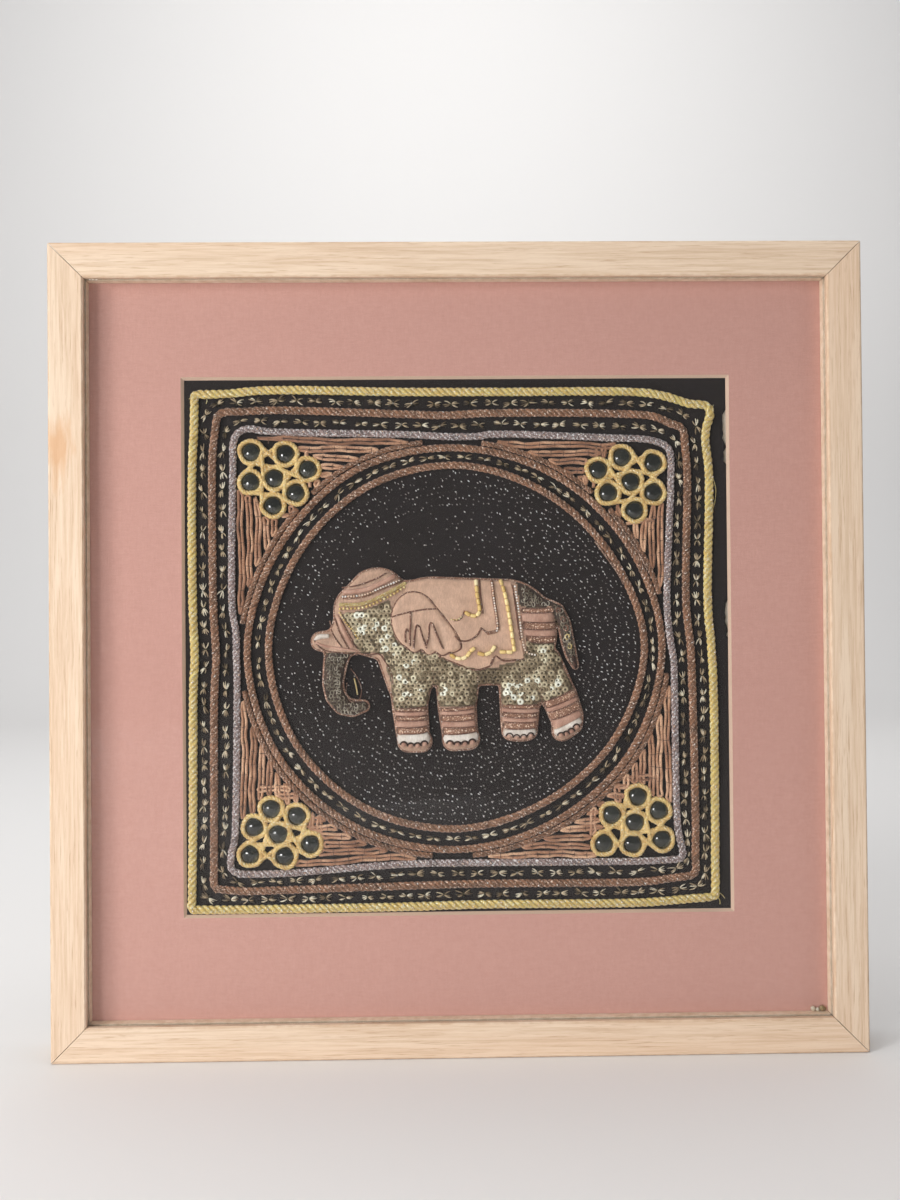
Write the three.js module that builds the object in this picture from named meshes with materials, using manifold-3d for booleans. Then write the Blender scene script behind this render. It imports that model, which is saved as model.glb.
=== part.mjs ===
// A framed applique tapestry: a padded and sequinned elephant in a round medallion, inside three
// corded borders with a rosette of glass cabochons in each corner, under a window mount and glass,
// in a square frame of limed wood.
// Millimetres, +X right, +Z up. The picture faces -Y and stands on its bottom rail at Z = 0.
import * as THREE from 'three';
import { ParametricGeometry } from 'three/addons/geometries/ParametricGeometry.js';
import { mergeVertices } from 'three/addons/utils/BufferGeometryUtils.js';
import Module from 'manifold-3d';

const wasm = await Module();
wasm.setup();

// The frame: a deep box moulding, mitred at the corners, with a rebate behind a thin front lip.
const frameSide = 450;
const frameDepth = 30;
const railFace = 19.5;
const lipDepth = 3;
const rebateWidth = 6;
const outerArris = 1.5;
const innerArris = 0.8;
const seatGap = 0.3;

// What lies in the rebate, from the front to the back.
const glassThickness = 2;
const slipDepth = 4.5;
const mountThickness = 1.5;
const clothThickness = 1.5;
const backingThickness = 3;

// The window of the mount, at the back of its bevel.
const windowEdges = { left: -153.2, right: 152, bottom: 77, top: 376.2 };

// Depths of the layers, measured toward the viewer from the middle of the frame's depth.
const frameFront = frameDepth / 2;
const glassFront = frameFront - lipDepth - seatGap;
const glassBack = glassFront - glassThickness;
const slipFront = glassBack - seatGap;
const slipBack = slipFront - slipDepth;
const mountFront = slipBack - seatGap;
const mountBack = mountFront - mountThickness;
const clothFront = mountBack - seatGap;
const clothBack = clothFront - clothThickness;
const backingFront = clothBack - seatGap;
const backingBack = backingFront - backingThickness;
const stitchBase = clothFront + seatGap;

// The cords are laid on the cloth and sewn down by hand, so their routes wander: [x, height above the base].
const goldCord = { width: 4.8, height: 3.2 };
const goldRoute = [
  [-147.5, 347.1], [-147.1, 361.5], [-146.7, 367.5], [-140.4, 368], [-128.3, 368.4], [-108.5, 370.1],
  [-31, 368.9], [23.7, 368.6], [102.8, 368], [117.1, 365.8], [131.5, 361.4], [139.1, 360.7],
  [141.9, 359.1], [142.7, 354.9], [140.5, 347.4], [140.1, 338.6], [141.7, 324.1], [140.4, 247.6],
  [142, 226], [143, 204.3], [143.2, 123.5], [143, 102], [143, 89.6], [142.4, 84.5], [136.8, 83.5],
  [125.6, 82.7], [104, 81.2], [9, 81.2], [-26.7, 80.5], [-106.9, 80], [-131.9, 80], [-144.3, 80.1],
  [-150, 80.7], [-150, 86.1], [-149.9, 94.7], [-149.3, 126.8], [-148.6, 203.4], [-147.8, 221.3],
  [-148.7, 249.8], [-148.6, 325.7],
];

const brownCord = { width: 4.4, height: 3 };
const brownRoute = [
  [-135.3, 350.5], [-133.8, 356.3], [-129.4, 358.1], [-121.3, 358.3], [-105.2, 359], [-28, 356.3],
  [-7.1, 355.6], [17.8, 356.7], [106.2, 355.1], [113.2, 353.6], [120.5, 350.3], [125.9, 348.2],
  [127.9, 345], [128.3, 338.5], [129.5, 324], [128.2, 247.7], [130.3, 226.1], [131.1, 204.5],
  [132.2, 123.6], [131.9, 105.6], [132, 98.6], [129.8, 96], [125.6, 95.4], [114.9, 94.1], [104.1, 92.8],
  [9.2, 92.7], [-26.7, 92.1], [-106.8, 90.3], [-121.2, 90.1], [-131.9, 91.1], [-136.7, 92],
  [-137.9, 95.1], [-137.8, 101.8], [-137.6, 126.7], [-137, 201.5], [-135.9, 221.2], [-137.2, 246.2],
  [-137.5, 327.4], [-137.2, 334.6],
];

const lilacCord = { width: 4, height: 2.9 };
const lilacRoute = [
  [-125.8, 332.7], [-125.7, 339.9], [-123.8, 345.4], [-118.1, 348.6], [-108.8, 347.4], [-101.6, 346.8],
  [-25, 344.8], [-7.1, 343.7], [10.8, 343.7], [19.8, 344.8], [90.4, 342.2], [106.1, 341.5],
  [111.5, 340.4], [117.2, 337.9], [119.8, 334.8], [120.3, 329.6], [120, 311.6], [117.4, 247.7],
  [119.1, 227.9], [120.8, 217.1], [121.1, 199.2], [122.1, 123.8], [123.3, 116.5], [124.8, 107.6],
  [122.8, 105.3], [118.5, 104.9], [104.2, 104.3], [81, 104.2], [9.2, 104.4], [-26.7, 104.3],
  [-96.5, 99.9], [-106.8, 99.6], [-117.6, 99.5], [-124.4, 100.1], [-128, 102.7], [-128.2, 110.4],
  [-126.4, 117.6], [-125.7, 126.6], [-124.3, 210.4], [-124.6, 221.1], [-124.8, 235.4], [-126.6, 246.1],
];

// The medallion: two cords round one centre, each a little out of round.
const medallionCentre = [-0.65, 225.9];
const medallionCord = { width: 4, height: 2.9 };
const medallionTable = [
  { degrees: 0, inner: 105, outer: 114.9 },
  { degrees: 30, inner: 100.2, outer: 111.8 },
  { degrees: 60, inner: 99.4, outer: 110.7 },
  { degrees: 90, inner: 101.6, outer: 111.4 },
  { degrees: 120, inner: 102.8, outer: 114.2 },
  { degrees: 150, inner: 103.4, outer: 114.6 },
  { degrees: 180, inner: 106, outer: 117.9 },
  { degrees: 210, inner: 105.8, outer: 118 },
  { degrees: 240, inner: 104.3, outer: 116.3 },
  { degrees: 270, inner: 102.3, outer: 113.9 },
  { degrees: 300, inner: 100.4, outer: 112.7 },
  { degrees: 330, inner: 102.6, outer: 114.2 },
];

// Seven cabochons to a corner, each in a ring of cord; the last of each list is the middle one.
const cabochonRadius = 5.3;
const cabochonRise = 3.4;
const ringInnerRadius = 5.65;
const ringOuterRadius = 7.25;
const ringHeight = 2.6;
const longestLink = 21;
const turnSegments = 10;
const rosettes = {
  top_left: [
    [-115.7, 335.6], [-96.4, 334.5], [-83.9, 325.7], [-116, 318.7], [-90.8, 312.5], [-103.5, 305.5],
    [-102.7, 320.8],
  ],
  top_right: [
    [79.2, 324.4], [92.6, 331.5], [110.3, 328.2], [84.7, 311.5], [110.3, 311.5], [99.6, 301.5],
    [97.6, 317.5],
  ],
  bottom_left: [
    [-105.7, 135.9], [-91.4, 131.8], [-115.2, 125.8], [-117.6, 110.5], [-98.3, 109.4], [-83.9, 116],
    [-101.8, 121.8],
  ],
  bottom_right: [
    [99.8, 140.6], [85.1, 130.6], [111.5, 132.6], [80.4, 114.4], [96.7, 114], [113.2, 116.3],
    [98, 126],
  ],
};

// Yarn laid in rows between the medallion and the borders, in two wedges to a side.
const yarnWidth = 2.9;
const yarnPitch = 2.7;
const yarnHeight = 2.4;
const yarnSpan = { from: 12, to: 92 };
const yarnRowsAtMost = 12;
const shortestRow = 7;

// The elephant: padded limbs, each a capsule from one round end to the other.
const limbs = [
  { name: 'barrel', from: [-15, 234.2, 30], to: [25.5, 233.6, 29] },
  { name: 'nape', from: [-38, 248, 14], to: [-20, 247.6, 15.2] },
  { name: 'crown', from: [-45.6, 252.8, 16.8], to: [-54.8, 246, 14.8] },
  { name: 'cheek', from: [-54.4, 243.4, 14.8], to: [-61.8, 232.6, 10.3] },
  { name: 'lip', from: [-62, 228.8, 7.4], to: [-77.6, 229.2, 4.8] },
  { name: 'throat', from: [-56, 234, 11], to: [-37, 230.4, 13] },
  { name: 'chest', from: [-34.4, 222, 11], to: [-29, 206, 11] },
  { name: 'trunk root', from: [-66.8, 226, 7], to: [-69.2, 218, 6.1] },
  { name: 'trunk', from: [-69.2, 218, 6.1], to: [-70.8, 206, 5.2] },
  { name: 'trunk bend', from: [-70.8, 206, 5.2], to: [-69.4, 198.8, 5.1] },
  { name: 'trunk curl', from: [-69.4, 198.8, 5.1], to: [-65.4, 193.4, 4.8] },
  { name: 'trunk end', from: [-65.4, 193.4, 4.8], to: [-60, 191.6, 4.2] },
  { name: 'trunk tip', from: [-60, 191.6, 4.2], to: [-53.6, 192.8, 2.8] },
  { name: 'fore leg', from: [-27, 214, 12.8], to: [-27.8, 193, 9.3] },
  { name: 'fore shin', from: [-27.8, 193, 9.3], to: [-26.4, 178, 8.6] },
  { name: 'fore foot', from: [-28.9, 172.6, 5.4], to: [-21.4, 172.6, 5.4] },
  { name: 'far fore leg', from: [-0.8, 212, 12.2], to: [-1.3, 192, 10.1] },
  { name: 'far fore shin', from: [-1.3, 192, 10.1], to: [0, 178.6, 9.4] },
  { name: 'far fore foot', from: [-3.6, 173.2, 5.5], to: [5.2, 173.8, 5.5] },
  { name: 'hind leg', from: [36.6, 211, 14.4], to: [33.8, 192, 10.4] },
  { name: 'hind shin', from: [33.8, 192, 10.4], to: [33.6, 182.4, 9.8] },
  { name: 'hind foot', from: [29.4, 178.4, 5.3], to: [37.8, 178.4, 5.3] },
  { name: 'far hind leg', from: [44.4, 213, 14], to: [56, 197.6, 9.4] },
  { name: 'far hind shin', from: [56, 197.6, 9.4], to: [60.2, 186, 8.7] },
  { name: 'far hind foot', from: [57.6, 178, 5.4], to: [63.2, 181.6, 5.3] },
  { name: 'tail root', from: [48.4, 249.6, 2.4], to: [55.8, 246, 2.7] },
  { name: 'tail', from: [55.8, 246, 2.7], to: [59.2, 238, 3.1] },
  { name: 'tail end', from: [59.2, 238, 3.1], to: [61, 228.4, 3.1] },
  { name: 'tail switch', from: [61, 228.4, 3.1], to: [63, 220.2, 2.6] },
  { name: 'tail tip', from: [63, 220.2, 2.6], to: [65.6, 213.6, 1.2] },
];
const appliqueEdge = 1.2;
const paddingRise = 3.1;
const paddingShoulder = 6;
const latticeStep = 4;
const overlayThickness = 1;

// A cloth laid over the back: its edge from under the ear, down, along the hem and up to the back.
const saddleEdge = [
  [-30, 272], [-30, 250], [-20, 236], [-13, 221.4], [-5, 217.8], [4, 214.6], [11.4, 213.2], [18.4, 215.6],
  [25, 219], [36.2, 218.4], [33, 240], [29.2, 262], [28.4, 272],
];

// The cloth's cut right side is uneven, and falls short of the window here and there: [x, height].
const clothEdges = { left: -166, bottom: 64, top: 389 };
const clothRightSide = [
  [157, 64], [155.5, 120], [153.6, 228], [150.8, 231], [152.4, 234], [150.6, 237], [150.8, 249],
  [153.4, 252], [153, 326], [150.9, 329], [150.8, 335], [152.6, 337.6], [150.3, 341], [150.5, 356],
  [153.4, 359.5], [156, 389],
];

const paints = {
  oak: new THREE.MeshStandardMaterial({ color: '#dcc6aa', roughness: 0.65, metalness: 0 }),
  slip: new THREE.MeshStandardMaterial({ color: '#cdb091', roughness: 0.7, metalness: 0 }),
  glass: new THREE.MeshStandardMaterial({ color: '#eef4f2', roughness: 0.05, metalness: 0,
    transparent: true, opacity: 0.15 }),
  mount: new THREE.MeshStandardMaterial({ color: '#cf9e92', roughness: 0.95, metalness: 0 }),
  backing: new THREE.MeshStandardMaterial({ color: '#b49a74', roughness: 0.9, metalness: 0 }),
  blackCloth: new THREE.MeshStandardMaterial({ color: '#2b272b', roughness: 0.95, metalness: 0 }),
  gold: new THREE.MeshStandardMaterial({ color: '#d2bc6a', roughness: 0.4, metalness: 0.5 }),
  brown: new THREE.MeshStandardMaterial({ color: '#87654f', roughness: 0.7, metalness: 0.1 }),
  lilac: new THREE.MeshStandardMaterial({ color: '#988486', roughness: 0.7, metalness: 0.1 }),
  yarn: new THREE.MeshStandardMaterial({ color: '#bb8f6c', roughness: 0.9, metalness: 0 }),
  ringCord: new THREE.MeshStandardMaterial({ color: '#cba75e', roughness: 0.45, metalness: 0.4 }),
  cabochon: new THREE.MeshStandardMaterial({ color: '#4a4c40', roughness: 0.08, metalness: 0 }),
  sequins: new THREE.MeshStandardMaterial({ color: '#9c927c', roughness: 0.35, metalness: 0.5 }),
  pink: new THREE.MeshStandardMaterial({ color: '#bf9985', roughness: 0.85, metalness: 0 }),
};

const radians = THREE.MathUtils.degToRad;
const lerp = THREE.MathUtils.lerp;
const clamp = THREE.MathUtils.clamp;

function named(name, geometry, material) {
  const mesh = new THREE.Mesh(geometry, material);
  mesh.name = name;
  return mesh;
}

function outline(points) {
  return new THREE.Shape(points.map(([x, y]) => new THREE.Vector2(x, y)));
}

// A flat sheet of an outline, from its back up to its front.
function slab(shape, back, front) {
  const geometry = new THREE.ExtrudeGeometry(shape, {
    depth: front - back, bevelEnabled: false, curveSegments: 5,
  });
  return geometry.translate(0, 0, back);
}

function square(left, bottom, right, top) {
  return outline([[left, bottom], [right, bottom], [right, top], [left, top]]);
}

function toSolid(geometry) {
  const bare = geometry.clone();
  bare.deleteAttribute('normal');
  bare.deleteAttribute('uv');
  const merged = mergeVertices(bare, 1e-4);
  return new wasm.Manifold(new wasm.Mesh({
    numProp: 3,
    vertProperties: new Float32Array(merged.attributes.position.array),
    triVerts: new Uint32Array(merged.index.array),
  }));
}

function toGeometry(solid) {
  const mesh = solid.getMesh();
  const geometry = new THREE.BufferGeometry();
  geometry.setAttribute('position', new THREE.BufferAttribute(mesh.vertProperties, 3));
  geometry.setIndex(new THREE.BufferAttribute(mesh.triVerts, 1));
  geometry.computeVertexNormals();
  return geometry;
}

function united(geometries) {
  return geometries.map(toSolid).reduce((sum, solid) => sum.add(solid));
}

// One side of a square frame, lying along its bottom edge, with both ends cut at 45 degrees.
// The profile is given as distance in from the outer edge, and depth.
function mitredBar(profile) {
  const mitreGap = seatGap / 2 * Math.SQRT2;
  const geometry = new THREE.ExtrudeGeometry(profile, { depth: 1, bevelEnabled: false, curveSegments: 3 });
  const position = geometry.attributes.position;
  for (let i = 0; i < position.count; i += 1) {
    const inset = position.getX(i);
    const end = 2 * Math.round(position.getZ(i)) - 1;
    position.setXYZ(i, end * (frameSide / 2 - inset - mitreGap), inset - frameSide / 2, position.getY(i));
  }
  geometry.computeVertexNormals();
  return geometry;
}

function squareOfBars(name, profile, material) {
  const bar = mitredBar(profile);
  const group = new THREE.Group();
  group.position.y = frameSide / 2;
  ['bottom', 'right', 'top', 'left'].forEach((side, turns) => {
    const mesh = named(`${name}_${side}`, bar, material);
    mesh.rotation.z = turns * Math.PI / 2;
    group.add(mesh);
  });
  return group;
}

function rails() {
  const back = -frameDepth / 2;
  const lipBack = frameFront - lipDepth;
  const profile = new THREE.Shape();
  profile.moveTo(0, back);
  profile.lineTo(railFace - rebateWidth, back);
  profile.lineTo(railFace - rebateWidth, lipBack);
  profile.lineTo(railFace, lipBack);
  profile.lineTo(railFace, frameFront - innerArris);
  profile.lineTo(railFace - innerArris, frameFront);
  profile.lineTo(outerArris, frameFront);
  profile.absarc(outerArris, frameFront - outerArris, outerArris, Math.PI / 2, Math.PI, false);
  profile.closePath();
  return squareOfBars('rail', profile, paints.oak);
}

const rebateInset = railFace - rebateWidth + seatGap;
const rebateSquare = square(rebateInset - frameSide / 2, rebateInset,
  frameSide / 2 - rebateInset, frameSide - rebateInset);

// Thin strips that hold the glass off the mount.
function slips() {
  return squareOfBars('slip', square(rebateInset, slipBack, railFace, slipFront), paints.slip);
}

// The mount's window is cut with a bevel, so it is wider at the front than at the back.
function mountBoard() {
  const { left, right, bottom, top } = windowEdges;
  const board = rebateSquare.clone();
  board.holes.push(square(left, bottom, right, top));
  const geometry = slab(board, mountBack, mountFront);
  const position = geometry.attributes.position;
  for (let i = 0; i < position.count; i += 1) {
    const x = position.getX(i);
    const y = position.getY(i);
    const inWindow = x > left - 1 && x < right + 1 && y > bottom - 1 && y < top + 1;
    if (inWindow && position.getZ(i) > mountBack + mountThickness / 2) {
      position.setX(i, x + (x > 0 ? mountThickness : -mountThickness));
      position.setY(i, y + (y > frameSide / 2 ? mountThickness : -mountThickness));
    }
  }
  geometry.computeVertexNormals();
  return named('mount_board', geometry, paints.mount);
}

function groundCloth() {
  const { left, bottom, top } = clothEdges;
  const shape = outline([...clothRightSide, [left, top], [left, bottom]]);
  return named('ground_cloth', slab(shape, clothBack, clothFront), paints.blackCloth);
}

function closedRoute(points) {
  return new THREE.CatmullRomCurve3(points.map(([x, y]) => new THREE.Vector3(x, y, 0)), true, 'centripetal');
}

function medallionRoute(column) {
  return medallionTable.map((row) => {
    const angle = radians(row.degrees);
    return [
      medallionCentre[0] + row[column] * Math.cos(angle),
      medallionCentre[1] + row[column] * Math.sin(angle),
    ];
  });
}

// A cord that closes on itself, lying on the cloth; its section is a flat-bottomed hexagon.
function couchedCord(name, points, cord, stepsPerPoint, material) {
  const route = closedRoute(points);
  const sides = 6;
  const flatness = Math.sin(Math.PI / 3);
  const geometry = new ParametricGeometry((u, v, target) => {
    const centre = route.getPoint(u % 1);
    const ahead = route.getTangent(u % 1);
    const turn = (v % 1) * 2 * Math.PI;
    const aside = Math.cos(turn) * cord.width / 2;
    const up = (1 + Math.sin(turn) / flatness) * cord.height / 2;
    target.set(centre.x + ahead.y * aside, centre.y - ahead.x * aside, stitchBase + up);
  }, points.length * stepsPerPoint, sides);
  return named(name, geometry, material);
}

// A profile of [radius, height] turned about an axis that points to the viewer.
function lathed(profile) {
  const geometry = new THREE.LatheGeometry(profile.map(([r, h]) => new THREE.Vector2(r, h)), turnSegments);
  return geometry.rotateX(Math.PI / 2);
}

function cabochon(name, [x, y]) {
  const profile = [[0, 0], [cabochonRadius, 0], [0.84 * cabochonRadius, 0.62 * cabochonRise],
    [0.45 * cabochonRadius, 0.92 * cabochonRise], [0, cabochonRise]];
  const mesh = named(name, lathed(profile), paints.cabochon);
  mesh.position.set(x, y, stitchBase);
  return mesh;
}

// The cord that rings the cabochons of a corner, with its crossings from ring to ring.
function ringCluster(name, centres) {
  const shoulder = 0.3;
  const profile = [[ringInnerRadius, 0], [ringOuterRadius, 0], [ringOuterRadius - shoulder, ringHeight],
    [ringInnerRadius + shoulder, ringHeight], [ringInnerRadius, 0]];
  const ring = lathed(profile);
  const pieces = centres.map(([x, y]) => ring.clone().translate(x, y, stitchBase));
  const middleRadius = (ringInnerRadius + ringOuterRadius) / 2;
  const linkWidth = 2.2;
  centres.forEach(([x0, y0], i) => centres.slice(i + 1).forEach(([x1, y1]) => {
    const apart = Math.hypot(x1 - x0, y1 - y0);
    if (apart > longestLink) return;
    const length = Math.max(apart - 2 * middleRadius, 0.4);
    const link = new THREE.BoxGeometry(length, linkWidth, 0.9 * ringHeight);
    link.rotateZ(Math.atan2(y1 - y0, x1 - x0));
    pieces.push(link.translate((x0 + x1) / 2, (y0 + y1) / 2, stitchBase + 0.45 * ringHeight));
  }));
  const bore = lathed([[0, 0], [ringInnerRadius, 0], [ringInnerRadius, glassBack], [0, glassBack]]);
  const holes = united(centres.map(([x, y]) => bore.clone().translate(x, y, 0)));
  return named(name, toGeometry(united(pieces).subtract(holes)), paints.ringCord);
}

// Turns a point about the medallion's centre, so that one side of the square comes to the top.
function turned([x, y], quarterTurns) {
  const angle = quarterTurns * Math.PI / 2;
  const dx = x - medallionCentre[0];
  const dy = y - medallionCentre[1];
  return [dx * Math.cos(angle) - dy * Math.sin(angle), dx * Math.sin(angle) + dy * Math.cos(angle)];
}

function sampled(points, quarterTurns) {
  return closedRoute(points).getPoints(600).map((p) => turned([p.x, p.y], quarterTurns));
}

function nearest(x, y, points) {
  const distance = ([px, py]) => Math.hypot(px - x, py - y);
  return points.reduce((best, point) => (distance(point) < distance(best) ? point : best));
}

function gapTo(x, y, points) {
  const [px, py] = nearest(x, y, points);
  return Math.hypot(px - x, py - y);
}

// One row of yarn along x: a ridge that follows a line, from one end to the other.
function yarnRow(start, end, lineAt) {
  const half = yarnWidth / 2;
  const section = outline([[-half, 0], [half, 0], [0.55 * half, yarnHeight], [-0.55 * half, yarnHeight]]);
  const geometry = new THREE.ExtrudeGeometry(section, { depth: 1, bevelEnabled: false });
  const position = geometry.attributes.position;
  for (let i = 0; i < position.count; i += 1) {
    const x = lerp(start, end, position.getZ(i));
    position.setXYZ(i, x, lineAt(x) + position.getX(i), position.getY(i));
  }
  return geometry;
}

// A wedge of rows on one side of the square, to the left (-1) or right (+1) of its middle.
// The rows slope as the border cord does there, and each goes as far as the rosette and the medallion
// leave it clear.
function yarnWedge(name, quarterTurns, half, corner) {
  const border = sampled(lilacRoute, quarterTurns);
  const medallion = sampled(medallionRoute('outer'), quarterTurns);
  const rings = rosettes[corner].map((centre) => turned(centre, quarterTurns));
  const reach = yarnWidth / 2 + seatGap;
  const beside = border.filter(([x, y]) => y > 0 && half * x > yarnSpan.from && half * x < yarnSpan.to);
  const first = nearest(half * yarnSpan.from, 0, beside);
  const last = nearest(half * yarnSpan.to, 0, beside);
  const slope = (last[1] - first[1]) / (last[0] - first[0]);
  const level = Math.min(...beside.map(([x, y]) => y - slope * x)) - lilacCord.width / 2 - reach;
  const isClear = (x, y) => Math.hypot(x, y) > Math.hypot(...nearest(x, y, medallion))
    && gapTo(x, y, medallion) > medallionCord.width / 2 + reach
    && gapTo(x, y, rings) > ringOuterRadius + reach
    && gapTo(x, y, border) > lilacCord.width / 2 + reach - 0.1;
  const rows = [];
  for (let row = 0; row < yarnRowsAtMost; row += 1) {
    const lineAt = (x) => level + slope * x - row * yarnPitch;
    let start = null;
    let end = null;
    for (let distance = 2; distance < 110; distance += 0.5) {
      const clear = isClear(half * distance, lineAt(half * distance));
      if (clear && start === null) start = distance;
      if (!clear && start !== null && end === null) end = distance - 0.5;
    }
    if (start === null || end === null || end - start < shortestRow) continue;
    rows.push(yarnRow(Math.min(half * start, half * end), Math.max(half * start, half * end), lineAt));
  }
  const geometry = toGeometry(united(rows));
  geometry.rotateZ(-quarterTurns * Math.PI / 2);
  geometry.translate(medallionCentre[0], medallionCentre[1], stitchBase);
  return named(name, geometry, paints.yarn);
}

// The outline of a limb: two round ends and the straight sides that touch both.
function limbOutline({ from: [x0, y0, r0], to: [x1, y1, r1] }, extra = 0) {
  const along = Math.atan2(y1 - y0, x1 - x0);
  const spread = Math.acos(clamp((r0 - r1) / Math.hypot(x1 - x0, y1 - y0), -1, 1));
  const shape = new THREE.Shape();
  shape.absarc(x1, y1, r1 + extra, along - spread, along + spread, false);
  shape.absarc(x0, y0, r0 + extra, along + spread, along - spread + 2 * Math.PI, false);
  return shape;
}

function depthInLimb(x, y, { from: [x0, y0, r0], to: [x1, y1, r1] }) {
  const dx = x1 - x0;
  const dy = y1 - y0;
  const share = clamp(((x - x0) * dx + (y - y0) * dy) / (dx * dx + dy * dy), 0, 1);
  return lerp(r0, r1, share) - Math.hypot(x - x0 - share * dx, y - y0 - share * dy);
}

// The padding swells from the sewn edge in a quarter round, and is level further in.
function paddedHeight(x, y) {
  const depth = Math.max(0, ...limbs.map((limb) => depthInLimb(x, y, limb)));
  const share = Math.min(depth / paddingShoulder, 1);
  return stitchBase + appliqueEdge + paddingRise * Math.sqrt(1 - (1 - share) ** 2);
}

// A block over a square lattice, with its underside and top given as heights over the lattice.
function latticeBlock({ left, bottom, right, top }, undersideAt, topAt) {
  const columns = Math.round((right - left) / latticeStep);
  const rows = Math.round((top - bottom) / latticeStep);
  const positions = [];
  for (const heightAt of [undersideAt, topAt]) {
    for (let j = 0; j <= rows; j += 1) {
      for (let i = 0; i <= columns; i += 1) {
        const x = left + i * latticeStep;
        const y = bottom + j * latticeStep;
        positions.push(x, y, heightAt(x, y));
      }
    }
  }
  const lower = (i, j) => j * (columns + 1) + i;
  const upper = (i, j) => lower(i, j) + (columns + 1) * (rows + 1);
  const triangles = [];
  for (let j = 0; j < rows; j += 1) {
    for (let i = 0; i < columns; i += 1) {
      triangles.push(upper(i, j), upper(i + 1, j), upper(i + 1, j + 1));
      triangles.push(upper(i, j), upper(i + 1, j + 1), upper(i, j + 1));
      triangles.push(lower(i, j), lower(i + 1, j + 1), lower(i + 1, j));
      triangles.push(lower(i, j), lower(i, j + 1), lower(i + 1, j + 1));
    }
  }
  const rim = [];
  for (let i = 0; i < columns; i += 1) rim.push([i, 0]);
  for (let j = 0; j < rows; j += 1) rim.push([columns, j]);
  for (let i = columns; i > 0; i -= 1) rim.push([i, rows]);
  for (let j = rows; j > 0; j -= 1) rim.push([0, j]);
  rim.forEach((here, k) => {
    const next = rim[(k + 1) % rim.length];
    triangles.push(lower(...here), lower(...next), upper(...next));
    triangles.push(lower(...here), upper(...next), upper(...here));
  });
  const geometry = new THREE.BufferGeometry();
  geometry.setAttribute('position', new THREE.Float32BufferAttribute(positions, 3));
  geometry.setIndex(triangles);
  return geometry;
}

const padded = { left: -84, bottom: 164, right: 72, top: 276 };
const prism = (shape) => toSolid(slab(shape, stitchBase, glassBack));

function elephantBody() {
  const silhouette = limbs.map((limb) => prism(limbOutline(limb))).reduce((sum, limb) => sum.add(limb));
  const cushion = toSolid(latticeBlock(padded, () => clothFront, paddedHeight));
  return { silhouette, body: cushion.intersect(silhouette) };
}

// The ear: a round top, a long back edge, and a hem of four lobes.
function earOutline() {
  const lobes = [[-21, 224.2, 3.4], [-13.2, 222.8, 3.2], [-5.6, 222.4, 3], [1, 224.6, 2.6]];
  const shape = new THREE.Shape();
  shape.moveTo(1, 224.6);
  shape.bezierCurveTo(3, 230, -8.6, 242, -14.4, 250);
  shape.bezierCurveTo(-18, 255.4, -24, 257.6, -29, 255.8);
  shape.bezierCurveTo(-35.4, 253, -38.4, 245.6, -37.4, 239);
  shape.bezierCurveTo(-36.6, 232.4, -33.2, 228, -29.4, 225.4);
  let from = -29.4;
  lobes.forEach(([x, y, drop]) => {
    shape.quadraticCurveTo((from + x) / 2, y - drop, x, y);
    from = x;
  });
  return shape;
}

// A cloth that lies over the padding, a little above it, cut to an outline.
function overlay(shape) {
  const sheet = latticeBlock(padded, (x, y) => paddedHeight(x, y) + seatGap,
    (x, y) => paddedHeight(x, y) + seatGap + overlayThickness);
  return toSolid(sheet).intersect(prism(shape));
}

// Every point of an outline, moved outward by a distance.
function grown(shape, distance) {
  const points = shape.getPoints(6).slice(0, -1);
  const area = THREE.ShapeUtils.area(points);
  return new THREE.Shape(points.map((point, i) => {
    const before = points[(i + points.length - 1) % points.length];
    const after = points[(i + 1) % points.length];
    const along = after.clone().sub(before).normalize();
    const outward = new THREE.Vector2(along.y, -along.x).multiplyScalar(Math.sign(area) * distance);
    return point.clone().add(outward);
  }));
}

const picture = new THREE.Group();
picture.rotation.x = Math.PI / 2;
picture.add(rails(), slips());
picture.add(named('glass_pane', slab(rebateSquare, glassBack, glassFront), paints.glass));
picture.add(mountBoard(), groundCloth());
picture.add(named('backing_board', slab(rebateSquare, backingBack, backingFront), paints.backing));
picture.add(
  couchedCord('cord_gold', goldRoute, goldCord, 1, paints.gold),
  couchedCord('cord_brown', brownRoute, brownCord, 1, paints.brown),
  couchedCord('cord_lilac', lilacRoute, lilacCord, 1, paints.lilac),
  couchedCord('medallion_cord_outer', medallionRoute('outer'), medallionCord, 4, paints.brown),
  couchedCord('medallion_cord_inner', medallionRoute('inner'), medallionCord, 4, paints.brown),
);
for (const [corner, centres] of Object.entries(rosettes)) {
  centres.forEach((centre, i) => picture.add(cabochon(`cabochon_${corner}_${i + 1}`, centre)));
  picture.add(ringCluster(`ring_cords_${corner}`, centres));
}
picture.add(
  yarnWedge('yarn_top_left', 0, -1, 'top_left'),
  yarnWedge('yarn_top_right', 0, 1, 'top_right'),
  yarnWedge('yarn_right_upper', 1, -1, 'top_right'),
  yarnWedge('yarn_right_lower', 1, 1, 'bottom_right'),
  yarnWedge('yarn_bottom_right', 2, -1, 'bottom_right'),
  yarnWedge('yarn_bottom_left', 2, 1, 'bottom_left'),
  yarnWedge('yarn_left_lower', 3, -1, 'bottom_left'),
  yarnWedge('yarn_left_upper', 3, 1, 'top_left'),
);
const { silhouette, body } = elephantBody();
const ear = earOutline();
const saddle = overlay(outline(saddleEdge)).intersect(silhouette).subtract(prism(grown(ear, 0.6)));
picture.add(
  named('elephant_body', toGeometry(body), paints.sequins),
  named('elephant_ear', toGeometry(overlay(ear)), paints.pink),
  named('saddle_cloth', toGeometry(saddle), paints.pink),
);

const group = new THREE.Group();
group.add(picture);

export default group;
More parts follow.
